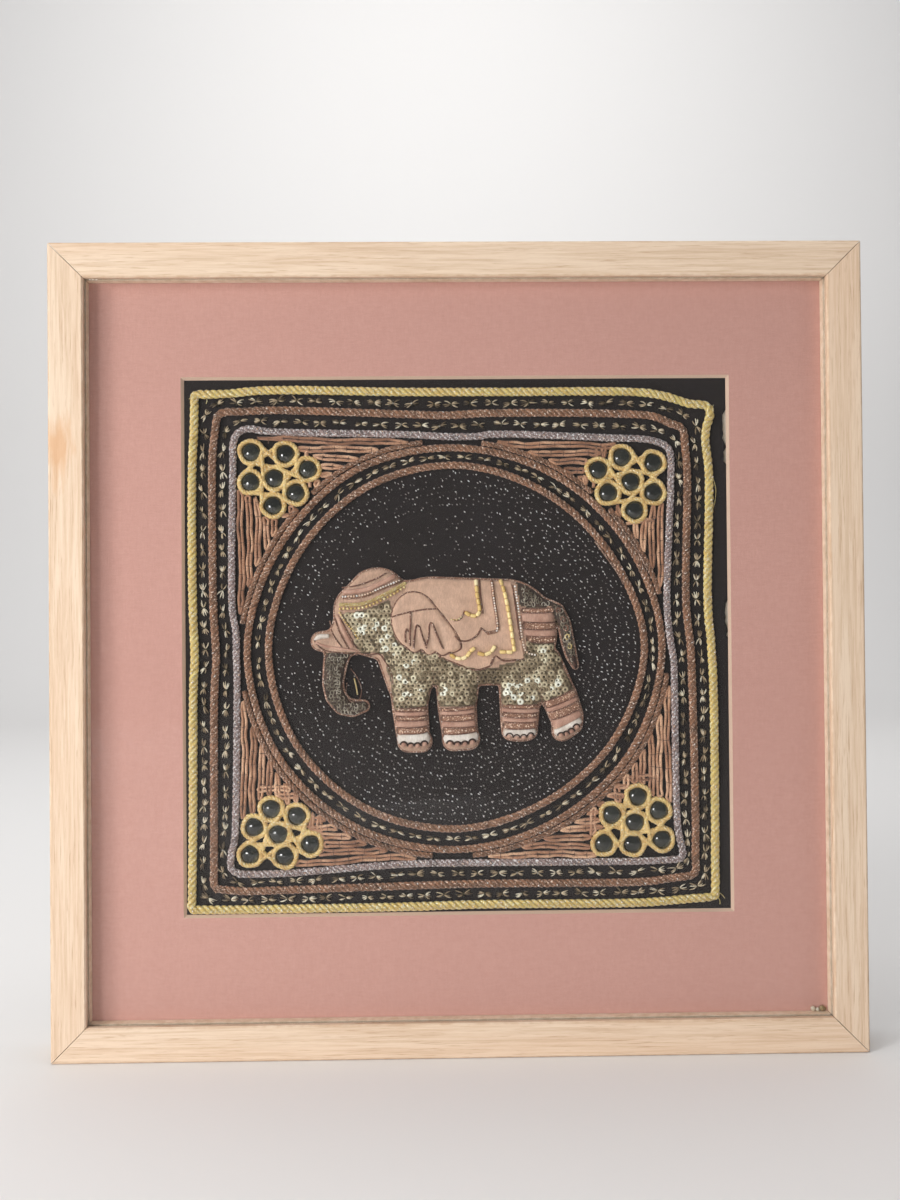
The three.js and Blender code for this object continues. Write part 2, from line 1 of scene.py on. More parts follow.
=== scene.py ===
"""Dresses the framed applique tapestry: limed oak, a pink mount, couched cords, thread eyes, glass cabochons,
laid yarn, and a padded elephant with sequins and beads.

Panel sizes are in millimetres as (x, height, rise), where rise is the distance from the middle of the frame's
depth toward the viewer. place() turns them into the row frame's metres."""
import math

import bpy
import numpy as np
from bpy.props import FloatProperty, FloatVectorProperty, IntProperty, PointerProperty
from mathutils import Matrix, Vector


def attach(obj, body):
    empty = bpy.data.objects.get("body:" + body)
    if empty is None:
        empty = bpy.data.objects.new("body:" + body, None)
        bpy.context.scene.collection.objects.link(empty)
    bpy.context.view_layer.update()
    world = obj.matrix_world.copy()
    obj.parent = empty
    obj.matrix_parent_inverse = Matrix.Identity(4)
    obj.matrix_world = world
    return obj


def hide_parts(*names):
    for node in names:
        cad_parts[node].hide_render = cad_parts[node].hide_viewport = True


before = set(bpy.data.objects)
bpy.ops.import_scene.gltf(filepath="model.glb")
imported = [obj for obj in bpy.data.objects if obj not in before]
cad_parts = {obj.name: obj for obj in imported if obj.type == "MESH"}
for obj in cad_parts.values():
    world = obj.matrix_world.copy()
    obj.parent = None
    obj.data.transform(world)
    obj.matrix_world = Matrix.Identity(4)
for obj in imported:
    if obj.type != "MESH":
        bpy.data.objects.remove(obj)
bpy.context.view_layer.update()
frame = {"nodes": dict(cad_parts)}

bl_info = {
    "name": "Framed applique tapestry",
    "version": (1, 0, 0),
    "blender": (4, 5, 0),
    "location": "View3D > Sidebar > Tapestry",
    "description": "Dresses a framed tapestry with cords, thread eyes, cabochons, yarn and a padded elephant",
    "category": "Mesh",
}

MM = 0.001
CLOTH_FRONT = 2.8  # rise of the ground cloth's face
CLOTH_BACK = 1.4
TWO_PI = 2 * math.pi
STRANDS = 3  # in every twisted cord
FRAME_MIDDLE = 0.225  # height of the frame's middle, which is also half its width, in metres


def srgb(red, green, blue):
    """A colour out of 255, as a screen shows it, as the linear colour that a shader takes."""
    return tuple(((c / 255 + 0.055) / 1.055) ** 2.4 for c in (red, green, blue))


def shade(colour, factor):
    """A linear colour made darker or lighter."""
    return tuple(min(1, factor * c) for c in colour)


# ---------------------------------------------------------------- routes and tables, as the part's source has them

GOLD_ROUTE = [
    (-147.5, 347.1), (-147.1, 361.5), (-146.7, 367.5), (-140.4, 368), (-128.3, 368.4), (-108.5, 370.1),
    (-31, 368.9), (23.7, 368.6), (102.8, 368), (117.1, 365.8), (131.5, 361.4), (139.1, 360.7),
    (141.9, 359.1), (142.7, 354.9), (140.5, 347.4), (140.1, 338.6), (141.7, 324.1), (140.4, 247.6),
    (142, 226), (143, 204.3), (143.2, 123.5), (143, 102), (143, 89.6), (142.4, 84.5), (136.8, 83.5),
    (125.6, 82.7), (104, 81.2), (9, 81.2), (-26.7, 80.5), (-106.9, 80), (-131.9, 80), (-144.3, 80.1),
    (-150, 80.7), (-150, 86.1), (-149.9, 94.7), (-149.3, 126.8), (-148.6, 203.4), (-147.8, 221.3),
    (-148.7, 249.8), (-148.6, 325.7),
]
BROWN_ROUTE = [
    (-135.3, 350.5), (-133.8, 356.3), (-129.4, 358.1), (-121.3, 358.3), (-105.2, 359), (-28, 356.3),
    (-7.1, 355.6), (17.8, 356.7), (106.2, 355.1), (113.2, 353.6), (120.5, 350.3), (125.9, 348.2),
    (127.9, 345), (128.3, 338.5), (129.5, 324), (128.2, 247.7), (130.3, 226.1), (131.1, 204.5),
    (132.2, 123.6), (131.9, 105.6), (132, 98.6), (129.8, 96), (125.6, 95.4), (114.9, 94.1), (104.1, 92.8),
    (9.2, 92.7), (-26.7, 92.1), (-106.8, 90.3), (-121.2, 90.1), (-131.9, 91.1), (-136.7, 92),
    (-137.9, 95.1), (-137.8, 101.8), (-137.6, 126.7), (-137, 201.5), (-135.9, 221.2), (-137.2, 246.2),
    (-137.5, 327.4), (-137.2, 334.6),
]
LILAC_ROUTE = [
    (-125.8, 332.7), (-125.7, 339.9), (-123.8, 345.4), (-118.1, 348.6), (-108.8, 347.4), (-101.6, 346.8),
    (-25, 344.8), (-7.1, 343.7), (10.8, 343.7), (19.8, 344.8), (90.4, 342.2), (106.1, 341.5),
    (111.5, 340.4), (117.2, 337.9), (119.8, 334.8), (120.3, 329.6), (120, 311.6), (117.4, 247.7),
    (119.1, 227.9), (120.8, 217.1), (121.1, 199.2), (122.1, 123.8), (123.3, 116.5), (124.8, 107.6),
    (122.8, 105.3), (118.5, 104.9), (104.2, 104.3), (81, 104.2), (9.2, 104.4), (-26.7, 104.3),
    (-96.5, 99.9), (-106.8, 99.6), (-117.6, 99.5), (-124.4, 100.1), (-128, 102.7), (-128.2, 110.4),
    (-126.4, 117.6), (-125.7, 126.6), (-124.3, 210.4), (-124.6, 221.1), (-124.8, 235.4), (-126.6, 246.1),
]
MEDALLION_CENTRE = (-0.65, 225.9)
ROSETTES = {
    "top_left": [(-115.7, 335.6), (-96.4, 334.5), (-83.9, 325.7), (-116, 318.7), (-90.8, 312.5),
                 (-103.5, 305.5), (-102.7, 320.8)],
    "top_right": [(79.2, 324.4), (92.6, 331.5), (110.3, 328.2), (84.7, 311.5), (110.3, 311.5),
                  (99.6, 301.5), (97.6, 317.5)],
    "bottom_left": [(-105.7, 135.9), (-91.4, 131.8), (-115.2, 125.8), (-117.6, 110.5), (-98.3, 109.4),
                    (-83.9, 116), (-101.8, 121.8)],
    "bottom_right": [(99.8, 140.6), (85.1, 130.6), (111.5, 132.6), (80.4, 114.4), (96.7, 114),
                     (113.2, 116.3), (98, 126)],
}
CLOTH_RIGHT_SIDE = [
    (157, 64), (155.5, 120), (153.6, 228), (150.8, 231), (152.4, 234), (150.6, 237), (150.8, 249),
    (153.4, 252), (153, 326), (150.9, 329), (150.8, 335), (152.6, 337.6), (150.3, 341), (150.5, 356),
    (153.4, 359.5), (156, 389),
]
# Padded limbs: the round ends along each one, as (x, height, radius).
LIMBS = {
    "barrel": [(-15, 234.2, 30), (25.5, 233.6, 29)],
    "nape": [(-38, 248, 14), (-20, 247.6, 15.2)],
    "crown": [(-45.6, 252.8, 16.8), (-54.8, 246, 14.8)],
    "cheek": [(-54.4, 243.4, 14.8), (-61.8, 232.6, 10.3)],
    "lip": [(-62, 228.8, 7.4), (-77.6, 229.2, 4.8)],
    "throat": [(-56, 234, 11), (-37, 230.4, 13)],
    "chest": [(-34.4, 222, 11), (-29, 206, 11)],
    "trunk": [(-66.8, 226, 7), (-69.2, 218, 6.1), (-70.8, 206, 5.2), (-69.4, 198.8, 5.1), (-65.4, 193.4, 4.8),
              (-60, 191.6, 4.2), (-53.6, 192.8, 2.8)],
    "fore leg": [(-27, 214, 12.8), (-27.8, 193, 9.3), (-26.4, 178, 8.6)],
    "fore foot": [(-28.9, 172.6, 5.4), (-21.4, 172.6, 5.4)],
    "far fore leg": [(-0.8, 212, 12.2), (-1.3, 192, 10.1), (0, 178.6, 9.4)],
    "far fore foot": [(-3.6, 173.2, 5.5), (5.2, 173.8, 5.5)],
    "hind leg": [(36.6, 211, 14.4), (33.8, 192, 10.4), (33.6, 182.4, 9.8)],
    "hind foot": [(29.4, 178.4, 5.3), (37.8, 178.4, 5.3)],
    "far hind leg": [(44.4, 213, 14), (56, 197.6, 9.4), (60.2, 186, 8.7)],
    "far hind foot": [(57.6, 178, 5.4), (63.2, 181.6, 5.3)],
    "tail": [(48.4, 249.6, 2.4), (55.8, 246, 2.7), (59.2, 238, 3.1), (61, 228.4, 3.1), (63, 220.2, 2.6),
             (65.6, 213.6, 1.2)],
}
STRETCHES = [pair for ends in LIMBS.values() for pair in zip(ends, ends[1:])]
SADDLE_EDGE = [
    (-30, 272), (-30, 250), (-20, 236), (-13, 221.4), (-5, 217.8), (4, 214.6), (11.4, 213.2), (18.4, 215.6),
    (25, 219), (36.2, 218.4), (33, 240), (29.2, 262), (28.4, 272),
]


# ---------------------------------------------------------------- lines

def angles_round(count):
    """Even angles once round."""
    return np.arange(count) / count * TWO_PI


def along_line(line):
    """The distance along a line at each of its points."""
    steps = np.linalg.norm(np.diff(line, axis=0), axis=1)
    return np.concatenate([[0.0], np.cumsum(steps)])


def even_line(line, step, closed=False):
    """The same line with points about a step apart. A closed line ends one step short of its start."""
    line = np.asarray(line, float)
    if closed:
        line = np.vstack([line, line[:1]])
    gone = along_line(line)
    count = max(3, int(round(gone[-1] / step)))
    wanted = np.linspace(0, gone[-1], count + 1)
    if closed:
        wanted = wanted[:-1]
    return np.stack([np.interp(wanted, gone, line[:, k]) for k in range(line.shape[1])], axis=1)


def closed_curve(points):
    """A closed centripetal Catmull-Rom curve through the points."""
    per_span = 16
    here = np.asarray(points, float)
    before, after, beyond = np.roll(here, 1, 0), np.roll(here, -1, 0), np.roll(here, -2, 0)

    def knot(a, b):
        return np.linalg.norm(b - a, axis=1)[:, None] ** 0.5

    t0, t1, t2 = knot(before, here), knot(here, after), knot(after, beyond)
    leave = ((here - before) / t0 - (after - before) / (t0 + t1) + (after - here) / t1) * t1
    reach = ((after - here) / t1 - (beyond - here) / (t1 + t2) + (beyond - after) / t2) * t1
    spans = []
    for t in np.arange(per_span) / per_span:
        spans.append((2 * t**3 - 3 * t**2 + 1) * here + (t**3 - 2 * t**2 + t) * leave
                     + (3 * t**2 - 2 * t**3) * after + (t**3 - t**2) * reach)
    return np.stack(spans, axis=1).reshape(-1, here.shape[1])


def even_curve(route, step):
    """The closed curve through a route, with points about a step apart."""
    return even_line(closed_curve(route), step, True)


def open_curve(points, per_span):
    """An open smooth curve through the points."""
    points = np.asarray(points, float)
    first, last = 2 * points[0] - points[1], 2 * points[-1] - points[-2]
    padded = np.vstack([first, points, last])
    out = []
    for k in range(1, len(padded) - 2):
        a, b, c, d = padded[k - 1:k + 3]
        for t in np.arange(per_span) / per_span:
            out.append(0.5 * (2 * b + (c - a) * t + (2 * a - 5 * b + 4 * c - d) * t**2
                              + (3 * b - a - 3 * c + d) * t**3))
    return np.vstack([out, points[-1:]])


def medallion_route(radii):
    """Points round the medallion's centre at even angles, each at its own radius."""
    turn = np.radians(np.arange(len(radii)) * 360 / len(radii))
    return [(MEDALLION_CENTRE[0] + r * math.cos(a), MEDALLION_CENTRE[1] + r * math.sin(a))
            for r, a in zip(radii, turn)]


INNER_ROUTE = medallion_route([105, 100.2, 99.4, 101.6, 102.8, 103.4, 106, 105.8, 104.3, 102.3, 100.4, 102.6])
OUTER_ROUTE = medallion_route([114.9, 111.8, 110.7, 111.4, 114.2, 114.6, 117.9, 118, 116.3, 113.9, 112.7, 114.2])


def lifted(line, rise):
    """A flat line (x, height) raised to a rise, which is one number or one for each point."""
    line = np.asarray(line, float)
    return np.column_stack([line[:, 0], line[:, 1], np.broadcast_to(rise, len(line))])


def headings(line, closed):
    """The unit direction of travel at each point of a line."""
    if closed:
        ahead = np.roll(line, -1, 0) - np.roll(line, 1, 0)
    else:
        ahead = np.gradient(line, axis=0)
    return ahead / np.maximum(np.linalg.norm(ahead, axis=1)[:, None], 1e-9)


def nearest(line, others):
    """How far the nearest of the other points is from each point of a line."""
    return np.linalg.norm(others[None] - line[:, None], axis=2).min(axis=1)


def axes_along(line, closed):
    """At each point of a line (x, height, rise): its heading, and the unit axes aside and up, across it."""
    ahead = headings(line, closed)
    aside = np.cross(ahead, [0.0, 0.0, 1.0])
    aside /= np.maximum(np.linalg.norm(aside, axis=1)[:, None], 1e-6)
    return ahead, aside, np.cross(aside, ahead)


def set_off(line, distance):
    """A closed flat line moved to its right by a distance."""
    ahead = headings(line, True)
    return line + np.column_stack([ahead[:, 1], -ahead[:, 0]]) * distance


# ---------------------------------------------------------------- stock: faces gathered for one piece

def place(points):
    """Panel points in millimetres, put in the row frame in metres."""
    points = np.asarray(points, float)
    return np.stack([points[:, 0], -points[:, 2], points[:, 1]], axis=1) * MM


class Stock:
    """Faces gathered for one piece. Each point carries two numbers that its material may read: "run", the
    distance along its thread, and "chance", a random number for the bead, stitch or strand that it is part of."""

    def __init__(self):
        self.points, self.faces, self.runs, self.chances, self.count = [], [], [], [], 0

    def add(self, points, faces, run=0.0, chance=0.5):
        """Adds faces of four corners, or of three, which may be marked by -1 in a fourth column."""
        points, faces = np.asarray(points, float), np.asarray(faces, int)
        if faces.shape[1] == 3:
            faces = np.column_stack([faces, np.full(len(faces), -1)])
        self.points.append(points)
        self.faces.append(np.where(faces < 0, -1, faces + self.count))
        self.runs.append(np.broadcast_to(run, len(points)))
        self.chances.append(np.broadcast_to(chance, len(points)))
        self.count += len(points)

    def mesh(self, name):
        """The faces as one smooth-shaded mesh, with both numbers at its points."""
        points = place(np.concatenate(self.points))
        faces = np.concatenate(self.faces)
        sizes = np.where(faces[:, 3] < 0, 3, 4)
        loops = faces[faces >= 0]
        mesh = bpy.data.meshes.new(name)
        mesh.vertices.add(len(points))
        mesh.vertices.foreach_set("co", points.astype(np.float32).ravel())
        mesh.loops.add(len(loops))
        mesh.loops.foreach_set("vertex_index", loops.astype(np.int32))
        mesh.polygons.add(len(faces))
        mesh.polygons.foreach_set("loop_start", (np.cumsum(sizes) - sizes).astype(np.int32))
        mesh.polygons.foreach_set("loop_total", sizes.astype(np.int32))
        mesh.polygons.foreach_set("use_smooth", np.full(len(faces), True))
        for label, values in (("run", self.runs), ("chance", self.chances)):
            mark = mesh.attributes.new(label, "FLOAT", "POINT")
            mark.data.foreach_set("value", np.concatenate(values).astype(np.float32))
        mesh.update()
        mesh.validate()
        return mesh


def piece(name, stock, material, replaced=()):
    """Puts the gathered faces into the scene as one piece that rides on the frame."""
    made = bpy.data.objects.new(name, stock.mesh(name))
    bpy.context.scene.collection.objects.link(made)
    made.data.materials.append(material)
    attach(made, "root")
    if replaced:
        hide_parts(*replaced)
    return made


def grid_faces(rows, columns, wrap_rows=False, wrap_columns=False):
    """Quads over a lattice of points that is stored row by row."""
    down = np.arange(rows if wrap_rows else rows - 1)
    over = np.arange(columns if wrap_columns else columns - 1)
    i, j = np.meshgrid(down, over, indexing="ij")
    i, j = i.ravel(), j.ravel()
    below, beside = (i + 1) % rows, (j + 1) % columns
    return np.column_stack([i * columns + j, i * columns + beside, below * columns + beside,
                            below * columns + j])


def cap_faces(tip, ring, backward=False):
    """Triangles from a tip to each stretch of a ring of points, marked by -1 in a fourth column."""
    here, beside = (np.roll(ring, -1), ring) if backward else (ring, np.roll(ring, -1))
    return np.column_stack([np.full(len(ring), tip), here, beside, np.full(len(ring), -1)])


def tube(stock, line, radius, sides=6, closed=False, flatness=1.0, chance=0.5, axis=None, reach=1.0):
    """A round thread that follows a line. Its open ends taper to a point. Where it is one strand of a cord, "run" is
    how far out from the cord's axis a point lies, out of reach."""
    line = np.asarray(line, float)
    count = len(line)
    ahead, aside, up = axes_along(line, closed)
    angle = angles_round(sides)
    radius = np.broadcast_to(radius, count)[:, None, None]
    ring = np.cos(angle)[None, :, None] * aside[:, None] + flatness * np.sin(angle)[None, :, None] * up[:, None]
    points = (line[:, None] + radius * ring).reshape(-1, 3)
    gone = along_line(line)
    runs = np.repeat(gone, sides)
    if axis is not None:
        runs = np.linalg.norm(points - np.repeat(axis, sides, axis=0), axis=1) / reach
    chances = np.repeat(np.broadcast_to(chance, count), sides)
    faces = grid_faces(count, sides, wrap_rows=closed, wrap_columns=True)
    if not closed:
        tips = [line[0] - ahead[0] * radius[0, 0, 0] * 0.5, line[-1] + ahead[-1] * radius[-1, 0, 0] * 0.5]
        points = np.vstack([points, tips])
        runs, chances = np.append(runs, runs[[0, -1]]), np.append(chances, chances[[0, -1]])
        end, side = count * sides, np.arange(sides)
        faces = np.vstack([faces, cap_faces(end, side, backward=True), cap_faces(end + 1, side + end - sides)])
    stock.add(points, faces, runs, chances)


def twisted_cord(stock, line, width, height, pitch, seed, step=0.8, sides=6, closed=True, core=0.0):
    """Three strands laid round each other along a line (x, height, rise) of the cord's middle. The pitch is the
    length of one turn. A core, as a share of the width, fills the middle of a thick cord."""
    rng = np.random.default_rng(seed)
    line = even_line(line, step, closed)
    _, aside, up = axes_along(line, closed)
    length = len(line) * step
    turns = max(1, round(length / pitch)) if closed else length / pitch
    swing = np.arange(len(line)) / len(line) * turns * TWO_PI
    strand = width / 4.1  # a strand has this radius, so the three press into each other a little
    lay = width / 2 - strand
    for k in range(STRANDS):
        angle = k * TWO_PI / STRANDS - swing
        slack = 1 + 0.06 * smooth_noise(rng, len(line), 7)
        offset = lay * slack[:, None] * (np.cos(angle)[:, None] * aside
                                         + height / width * np.sin(angle)[:, None] * up)
        plump = strand * (1 + 0.07 * smooth_noise(rng, len(line), 5))
        tube(stock, line + offset, plump, sides, closed, height / width * 1.12,
             chance=np.abs(smooth_noise(rng, len(line), 4)), axis=line, reach=width / 2)
    if core:
        tube(stock, line, core * width, 6, closed, height / width, chance=0.3, axis=line, reach=width / 2)


def smooth_noise(rng, count, every):
    """A random wobble between about -1 and 1 that changes over so many points, and closes on itself."""
    knots = rng.uniform(-1, 1, max(3, int(count / every)) + 1)
    knots[-1] = knots[0]
    return np.interp(np.linspace(0, len(knots) - 1, count), np.arange(len(knots)), knots)


def ball(stock, centre, radius, rings=5, sides=8, squash=1.0, chance=0.5):
    """A round bead, squashed toward the cloth if asked."""
    lat = np.linspace(0, math.pi, rings + 1)[1:-1]
    lon = angles_round(sides)
    points = [(math.sin(a) * math.cos(b), math.sin(a) * math.sin(b), squash * math.cos(a)) for a in lat for b in lon]
    points += [(0, 0, squash), (0, 0, -squash)]
    end, side = len(lat) * sides, np.arange(sides)
    faces = [grid_faces(len(lat), sides, wrap_columns=True), cap_faces(end, side, backward=True),
             cap_faces(end + 1, side + end - sides)]
    stock.add(np.asarray(points) * radius + centre, np.vstack(faces), 0.0, chance)


def turned_profile(stock, centre, profile, sides, tilt, chance):
    """A closed profile of (radius, rise) turned about a line toward the viewer, leaning by a tilt in x and height."""
    angle = angles_round(sides)
    profile = np.asarray(profile, float)
    points = np.stack([np.outer(profile[:, 0], np.cos(angle)), np.outer(profile[:, 0], np.sin(angle)),
                       np.outer(profile[:, 1], np.ones(sides))], axis=2).reshape(-1, 3)
    points[:, 2] += points[:, 0] * tilt[0] + points[:, 1] * tilt[1]
    faces = grid_faces(len(profile), sides, wrap_rows=True, wrap_columns=True)
    stock.add(points + np.asarray(centre, float), faces[:, ::-1], 0.0, chance)


# ---------------------------------------------------------------- finishes

class Finish:
    """A material under way: its shader, and the nodes that feed it."""

    def __init__(self, name, roughness=0.6, metallic=0.0, **sockets):
        self.material = bpy.data.materials.new(name)
        self.material.use_nodes = True
        self.tree = self.material.node_tree
        self.shader = self.tree.nodes["Principled BSDF"]
        self.shader.inputs["Roughness"].default_value = roughness
        self.shader.inputs["Metallic"].default_value = metallic
        for socket, value in sockets.items():
            self.shader.inputs[socket.replace("_", " ")].default_value = value

    def node(self, kind, values=(), **settings):
        made = self.tree.nodes.new(kind)
        for label, value in settings.items():
            setattr(made, label, value)
        for socket, value in dict(values).items():
            if isinstance(value, bpy.types.NodeSocket):
                self.tree.links.new(value, made.inputs[socket])
            else:
                made.inputs[socket].default_value = value
        return made

    def spot(self, scale=(1, 1, 1), turn=(0, 0, 0)):
        """Where the surface lies in the row frame, stretched by a scale."""
        where = self.node("ShaderNodeTexCoord").outputs["Object"]
        mapped = self.node("ShaderNodeMapping", {"Vector": where, "Scale": scale, "Rotation": turn})
        return mapped.outputs["Vector"]

    def noise(self, where, scale, detail=3.0, roughness=0.55):
        return self.node("ShaderNodeTexNoise", {"Vector": where, "Scale": scale, "Detail": detail,
                                                "Roughness": roughness}).outputs["Fac"]

    def mark(self, label):
        return self.node("ShaderNodeAttribute", attribute_name=label).outputs["Fac"]

    def maths(self, operation, first, second=0.0):
        return self.node("ShaderNodeMath", {0: first, 1: second}, operation=operation).outputs[0]

    def ramp(self, factor, stops):
        """Tones by a factor. A stop is (place, level), (place, linear colour) or (place, red, green, blue), which
        are out of 255."""
        made = self.node("ShaderNodeValToRGB", {"Fac": factor})
        ramp = made.color_ramp
        while len(ramp.elements) < len(stops):
            ramp.elements.new(0.5)
        for element, (where, *tone) in zip(ramp.elements, stops):
            tone = srgb(*tone) if len(tone) == 3 else tone[0]
            element.position = where
            element.color = (*tone, 1) if hasattr(tone, "__len__") else (tone, tone, tone, 1)
        return made.outputs["Color"]

    def blend(self, factor, first, second):
        """The first colour, turning into the second by a factor."""
        first, second = (tone if isinstance(tone, bpy.types.NodeSocket) else (*tone, 1) for tone in (first, second))
        return self.node("ShaderNodeMix", {0: factor, 6: first, 7: second}, data_type="RGBA").outputs[2]

    def colour(self, value):
        self.tree.links.new(value, self.shader.inputs["Base Color"])

    def rough(self, value):
        self.tree.links.new(value, self.shader.inputs["Roughness"])

    def bump(self, height, strength=0.4, distance=0.0003):
        made = self.node("ShaderNodeBump", {"Height": height, "Strength": strength, "Distance": distance})
        self.tree.links.new(made.outputs["Normal"], self.shader.inputs["Normal"])

    def grooves(self, tone, dark, grain, detail, stops, relief):
        """A tone that darkens in the grooves of a fine grain, whose ridges stand out."""
        fine = self.noise(self.spot(), grain, detail)
        self.colour(self.blend(self.ramp(fine, stops), tone, dark))
        self.bump(fine, relief, 0.0002)

    def satin_weave(self, puckers, tone, dark, depth):
        """A tone under the darker threads of a satin weave, which stand out together with its puckers."""
        weave = self.noise(self.spot((1500, 600, 400)), 1.0, 3.0)
        self.colour(self.blend(self.ramp(weave, [(0.35, depth), (0.6, 0.0)]), tone, dark))
        self.bump(self.maths("ADD", weave, puckers), 0.4, 0.0004)


def bead_finish(name, roughness, metallic, tones, grain=900, relief=0.1, **sockets):
    """Beads, sequins or slivers, each with a tone by its own chance."""
    made = Finish(name, roughness, metallic, **sockets)
    made.colour(made.ramp(made.mark("chance"), tones))
    made.bump(made.noise(made.spot(), grain, 1.0), relief)
    return made.material


def thread_finish(name, dark, light, roughness, metallic, glint=None, painted_glint_share=0.12):
    """Twisted thread: painted shade between its strands, fine plies along it, and painted glints of metal here and
    there.
    """
    made = Finish(name, roughness, metallic, Sheen_Weight=0.15)
    where = made.spot()
    plies = made.noise(where, 1900, 2.0)
    patches = made.noise(where, 160, 3.0)
    base = made.blend(made.ramp(patches, [(0.3, 0.0), (0.7, 1.0)]), dark, light)
    base = made.blend(made.ramp(made.mark("chance"), [(0.2, 0.0), (0.9, 0.45)]), base, shade(light, 1.25))
    base = made.blend(made.ramp(plies, [(0.35, 0.4), (0.55, 0.0)]), base, shade(dark, 0.45))
    # Painted glints: near-white flecks where metal fibres would catch the light, made less rough there.
    if glint:
        bright = made.noise(where, 1250, 1.0)
        fleck = made.ramp(bright, [(0.68 - painted_glint_share, 0.0), (0.73 - painted_glint_share, 1.0)])
        base = made.blend(fleck, base, glint)
        made.rough(made.ramp(fleck, [(0.0, roughness), (1.0, 0.22)]))
    # Painted shade: a strand turns darker where it lies close to the cord's axis, in the creases between strands.
    base = made.blend(made.ramp(made.mark("run"), [(0.4, 0.7), (0.86, 0.0)]), base, shade(dark, 0.3))
    made.colour(base)
    made.bump(plies, 0.5, 0.0002)
    return made.material


def oak_finish(name, grain):
    """Limed open-grained oak, darker in patches along its front arrises, and rubbed bare in one place on the left
    rail.
    """
    made = Finish(name, 0.62, 0.0, IOR=1.45)

    def stretch(along, over, deep):
        return (along, deep, over) if grain == "x" else (over, deep, along)

    broad = made.noise(made.spot(stretch(2, 30, 20)), 1.0, 4.0)
    streak = made.noise(made.spot(stretch(16, 520, 160)), 1.0, 6.0, 0.75)
    pore = made.noise(made.spot(stretch(55, 1500, 500)), 1.0, 3.0, 0.6)
    base = made.ramp(streak, [(0.3, 188, 161, 135), (0.47, 204, 180, 155), (0.6, 214, 193, 170),
                              (0.78, 200, 173, 147)])
    base = made.blend(made.ramp(broad, [(0.4, 0.0), (0.75, 0.4)]), base, srgb(208, 172, 142))
    open_pores = made.ramp(pore, [(0.3, 0.6), (0.42, 0.0)])
    base = made.blend(open_pores, base, srgb(168, 134, 104))
    spot = made.node("ShaderNodeTexCoord").outputs["Object"]
    base = made.blend(darker_arrises(made, spot), base, srgb(178, 142, 112))
    rubbed_at, per_metre = (-0.2185, -0.015, 0.336), (95.0, 20.0, 34.0)
    patch = made.node("ShaderNodeVectorMath", {0: spot, 1: rubbed_at}, operation="SUBTRACT")
    patch = made.node("ShaderNodeVectorMath", {0: patch.outputs[0], 1: per_metre}, operation="MULTIPLY")
    near = made.node("ShaderNodeVectorMath", {0: patch.outputs[0]}, operation="LENGTH").outputs["Value"]
    ragged = made.maths("MULTIPLY", made.noise(made.spot(stretch(60, 260, 200)), 1.0, 5.0), 1.5)
    bare = made.maths("MULTIPLY", made.maths("ADD", near, ragged), 0.5)
    base = made.blend(made.ramp(bare, [(0.5, 0.75), (0.78, 0.0)]), base, srgb(196, 152, 112))
    made.colour(base)
    made.rough(made.ramp(streak, [(0.3, 0.72), (0.7, 0.55)]))
    made.bump(made.maths("SUBTRACT", streak, made.maths("MULTIPLY", open_pores, 1.2)), 0.3, 0.00022)
    return made.material


def darker_arrises(made, spot):
    """How much darker the oak is: in patches, along the front arrises by the glass and outside, and nowhere else."""
    where = made.node("ShaderNodeSeparateXYZ", {0: spot}).outputs
    up = made.maths("ABSOLUTE", made.maths("SUBTRACT", where["Z"], FRAME_MIDDLE))
    reach = made.maths("MAXIMUM", made.maths("ABSOLUTE", where["X"]), up)
    arris_patches = made.ramp(made.noise(made.spot(), 130, 4.0), [(0.42, 0.0), (0.6, 0.8)])
    rims = made.ramp(made.maths("MULTIPLY", reach, 4.0), [(0.8195, 0.0), (0.8215, 1.0), (0.8235, 1.0), (0.826, 0.0),
                                                          (0.8965, 0.0), (0.8985, 1.0)])
    front = made.ramp(made.maths("ADD", where["Y"], 0.5), [(0.4854, 1.0), (0.4866, 0.0)])
    return made.maths("MULTIPLY", made.maths("MULTIPLY", rims, front), arris_patches)


# ---------------------------------------------------------------- settings

def colour_setting(name, description, red, green, blue):
    """A colour, given out of 255."""
    return FloatVectorProperty(name=name, description=description, subtype="COLOR", size=3, min=0, max=1,
                               default=srgb(red, green, blue))


def length_setting(name, description, default, low, high):
    """A length in metres."""
    return FloatProperty(name=name, description=description, unit="LENGTH", default=default, min=low, max=high)


class FrameSettings(bpy.types.PropertyGroup):
    mount_colour: colour_setting("Mount colour", "Pink of the linen-faced mount", 208, 160, 147)
    bevel_colour: colour_setting("Bevel colour", "Cream core that the bevelled edge shows", 216, 186, 164)
    cloth_colour: colour_setting("Ground cloth", "Black of the ground cloth", 49, 42, 40)


class CordSettings(bpy.types.PropertyGroup):
    gold_width: length_setting("Gold cord", "Width of the outer gold cord", 0.0051, 0.001, 0.01)
    brown_width: length_setting("Brown cord", "Width of the brown cords", 0.0047, 0.001, 0.01)
    lilac_width: length_setting("Lilac cord", "Width of the lilac-grey cord", 0.0043, 0.001, 0.01)
    twist: length_setting("Twist", "Length of one full turn of a cord's strands", 0.0108, 0.002, 0.03)
    gold_colour: colour_setting("Gold", "Colour of the gold cord", 253, 217, 128)
    brown_colour: colour_setting("Brown", "Colour of the brown cords", 177, 127, 95)
    lilac_colour: colour_setting("Lilac", "Colour of the lilac-grey cord", 184, 159, 152)
    eye_length: length_setting("Thread eye", "Length of one thread eye", 0.0090, 0.002, 0.02)
    eye_width: length_setting("Thread eye width", "Width of one thread eye", 0.0028, 0.001, 0.01)


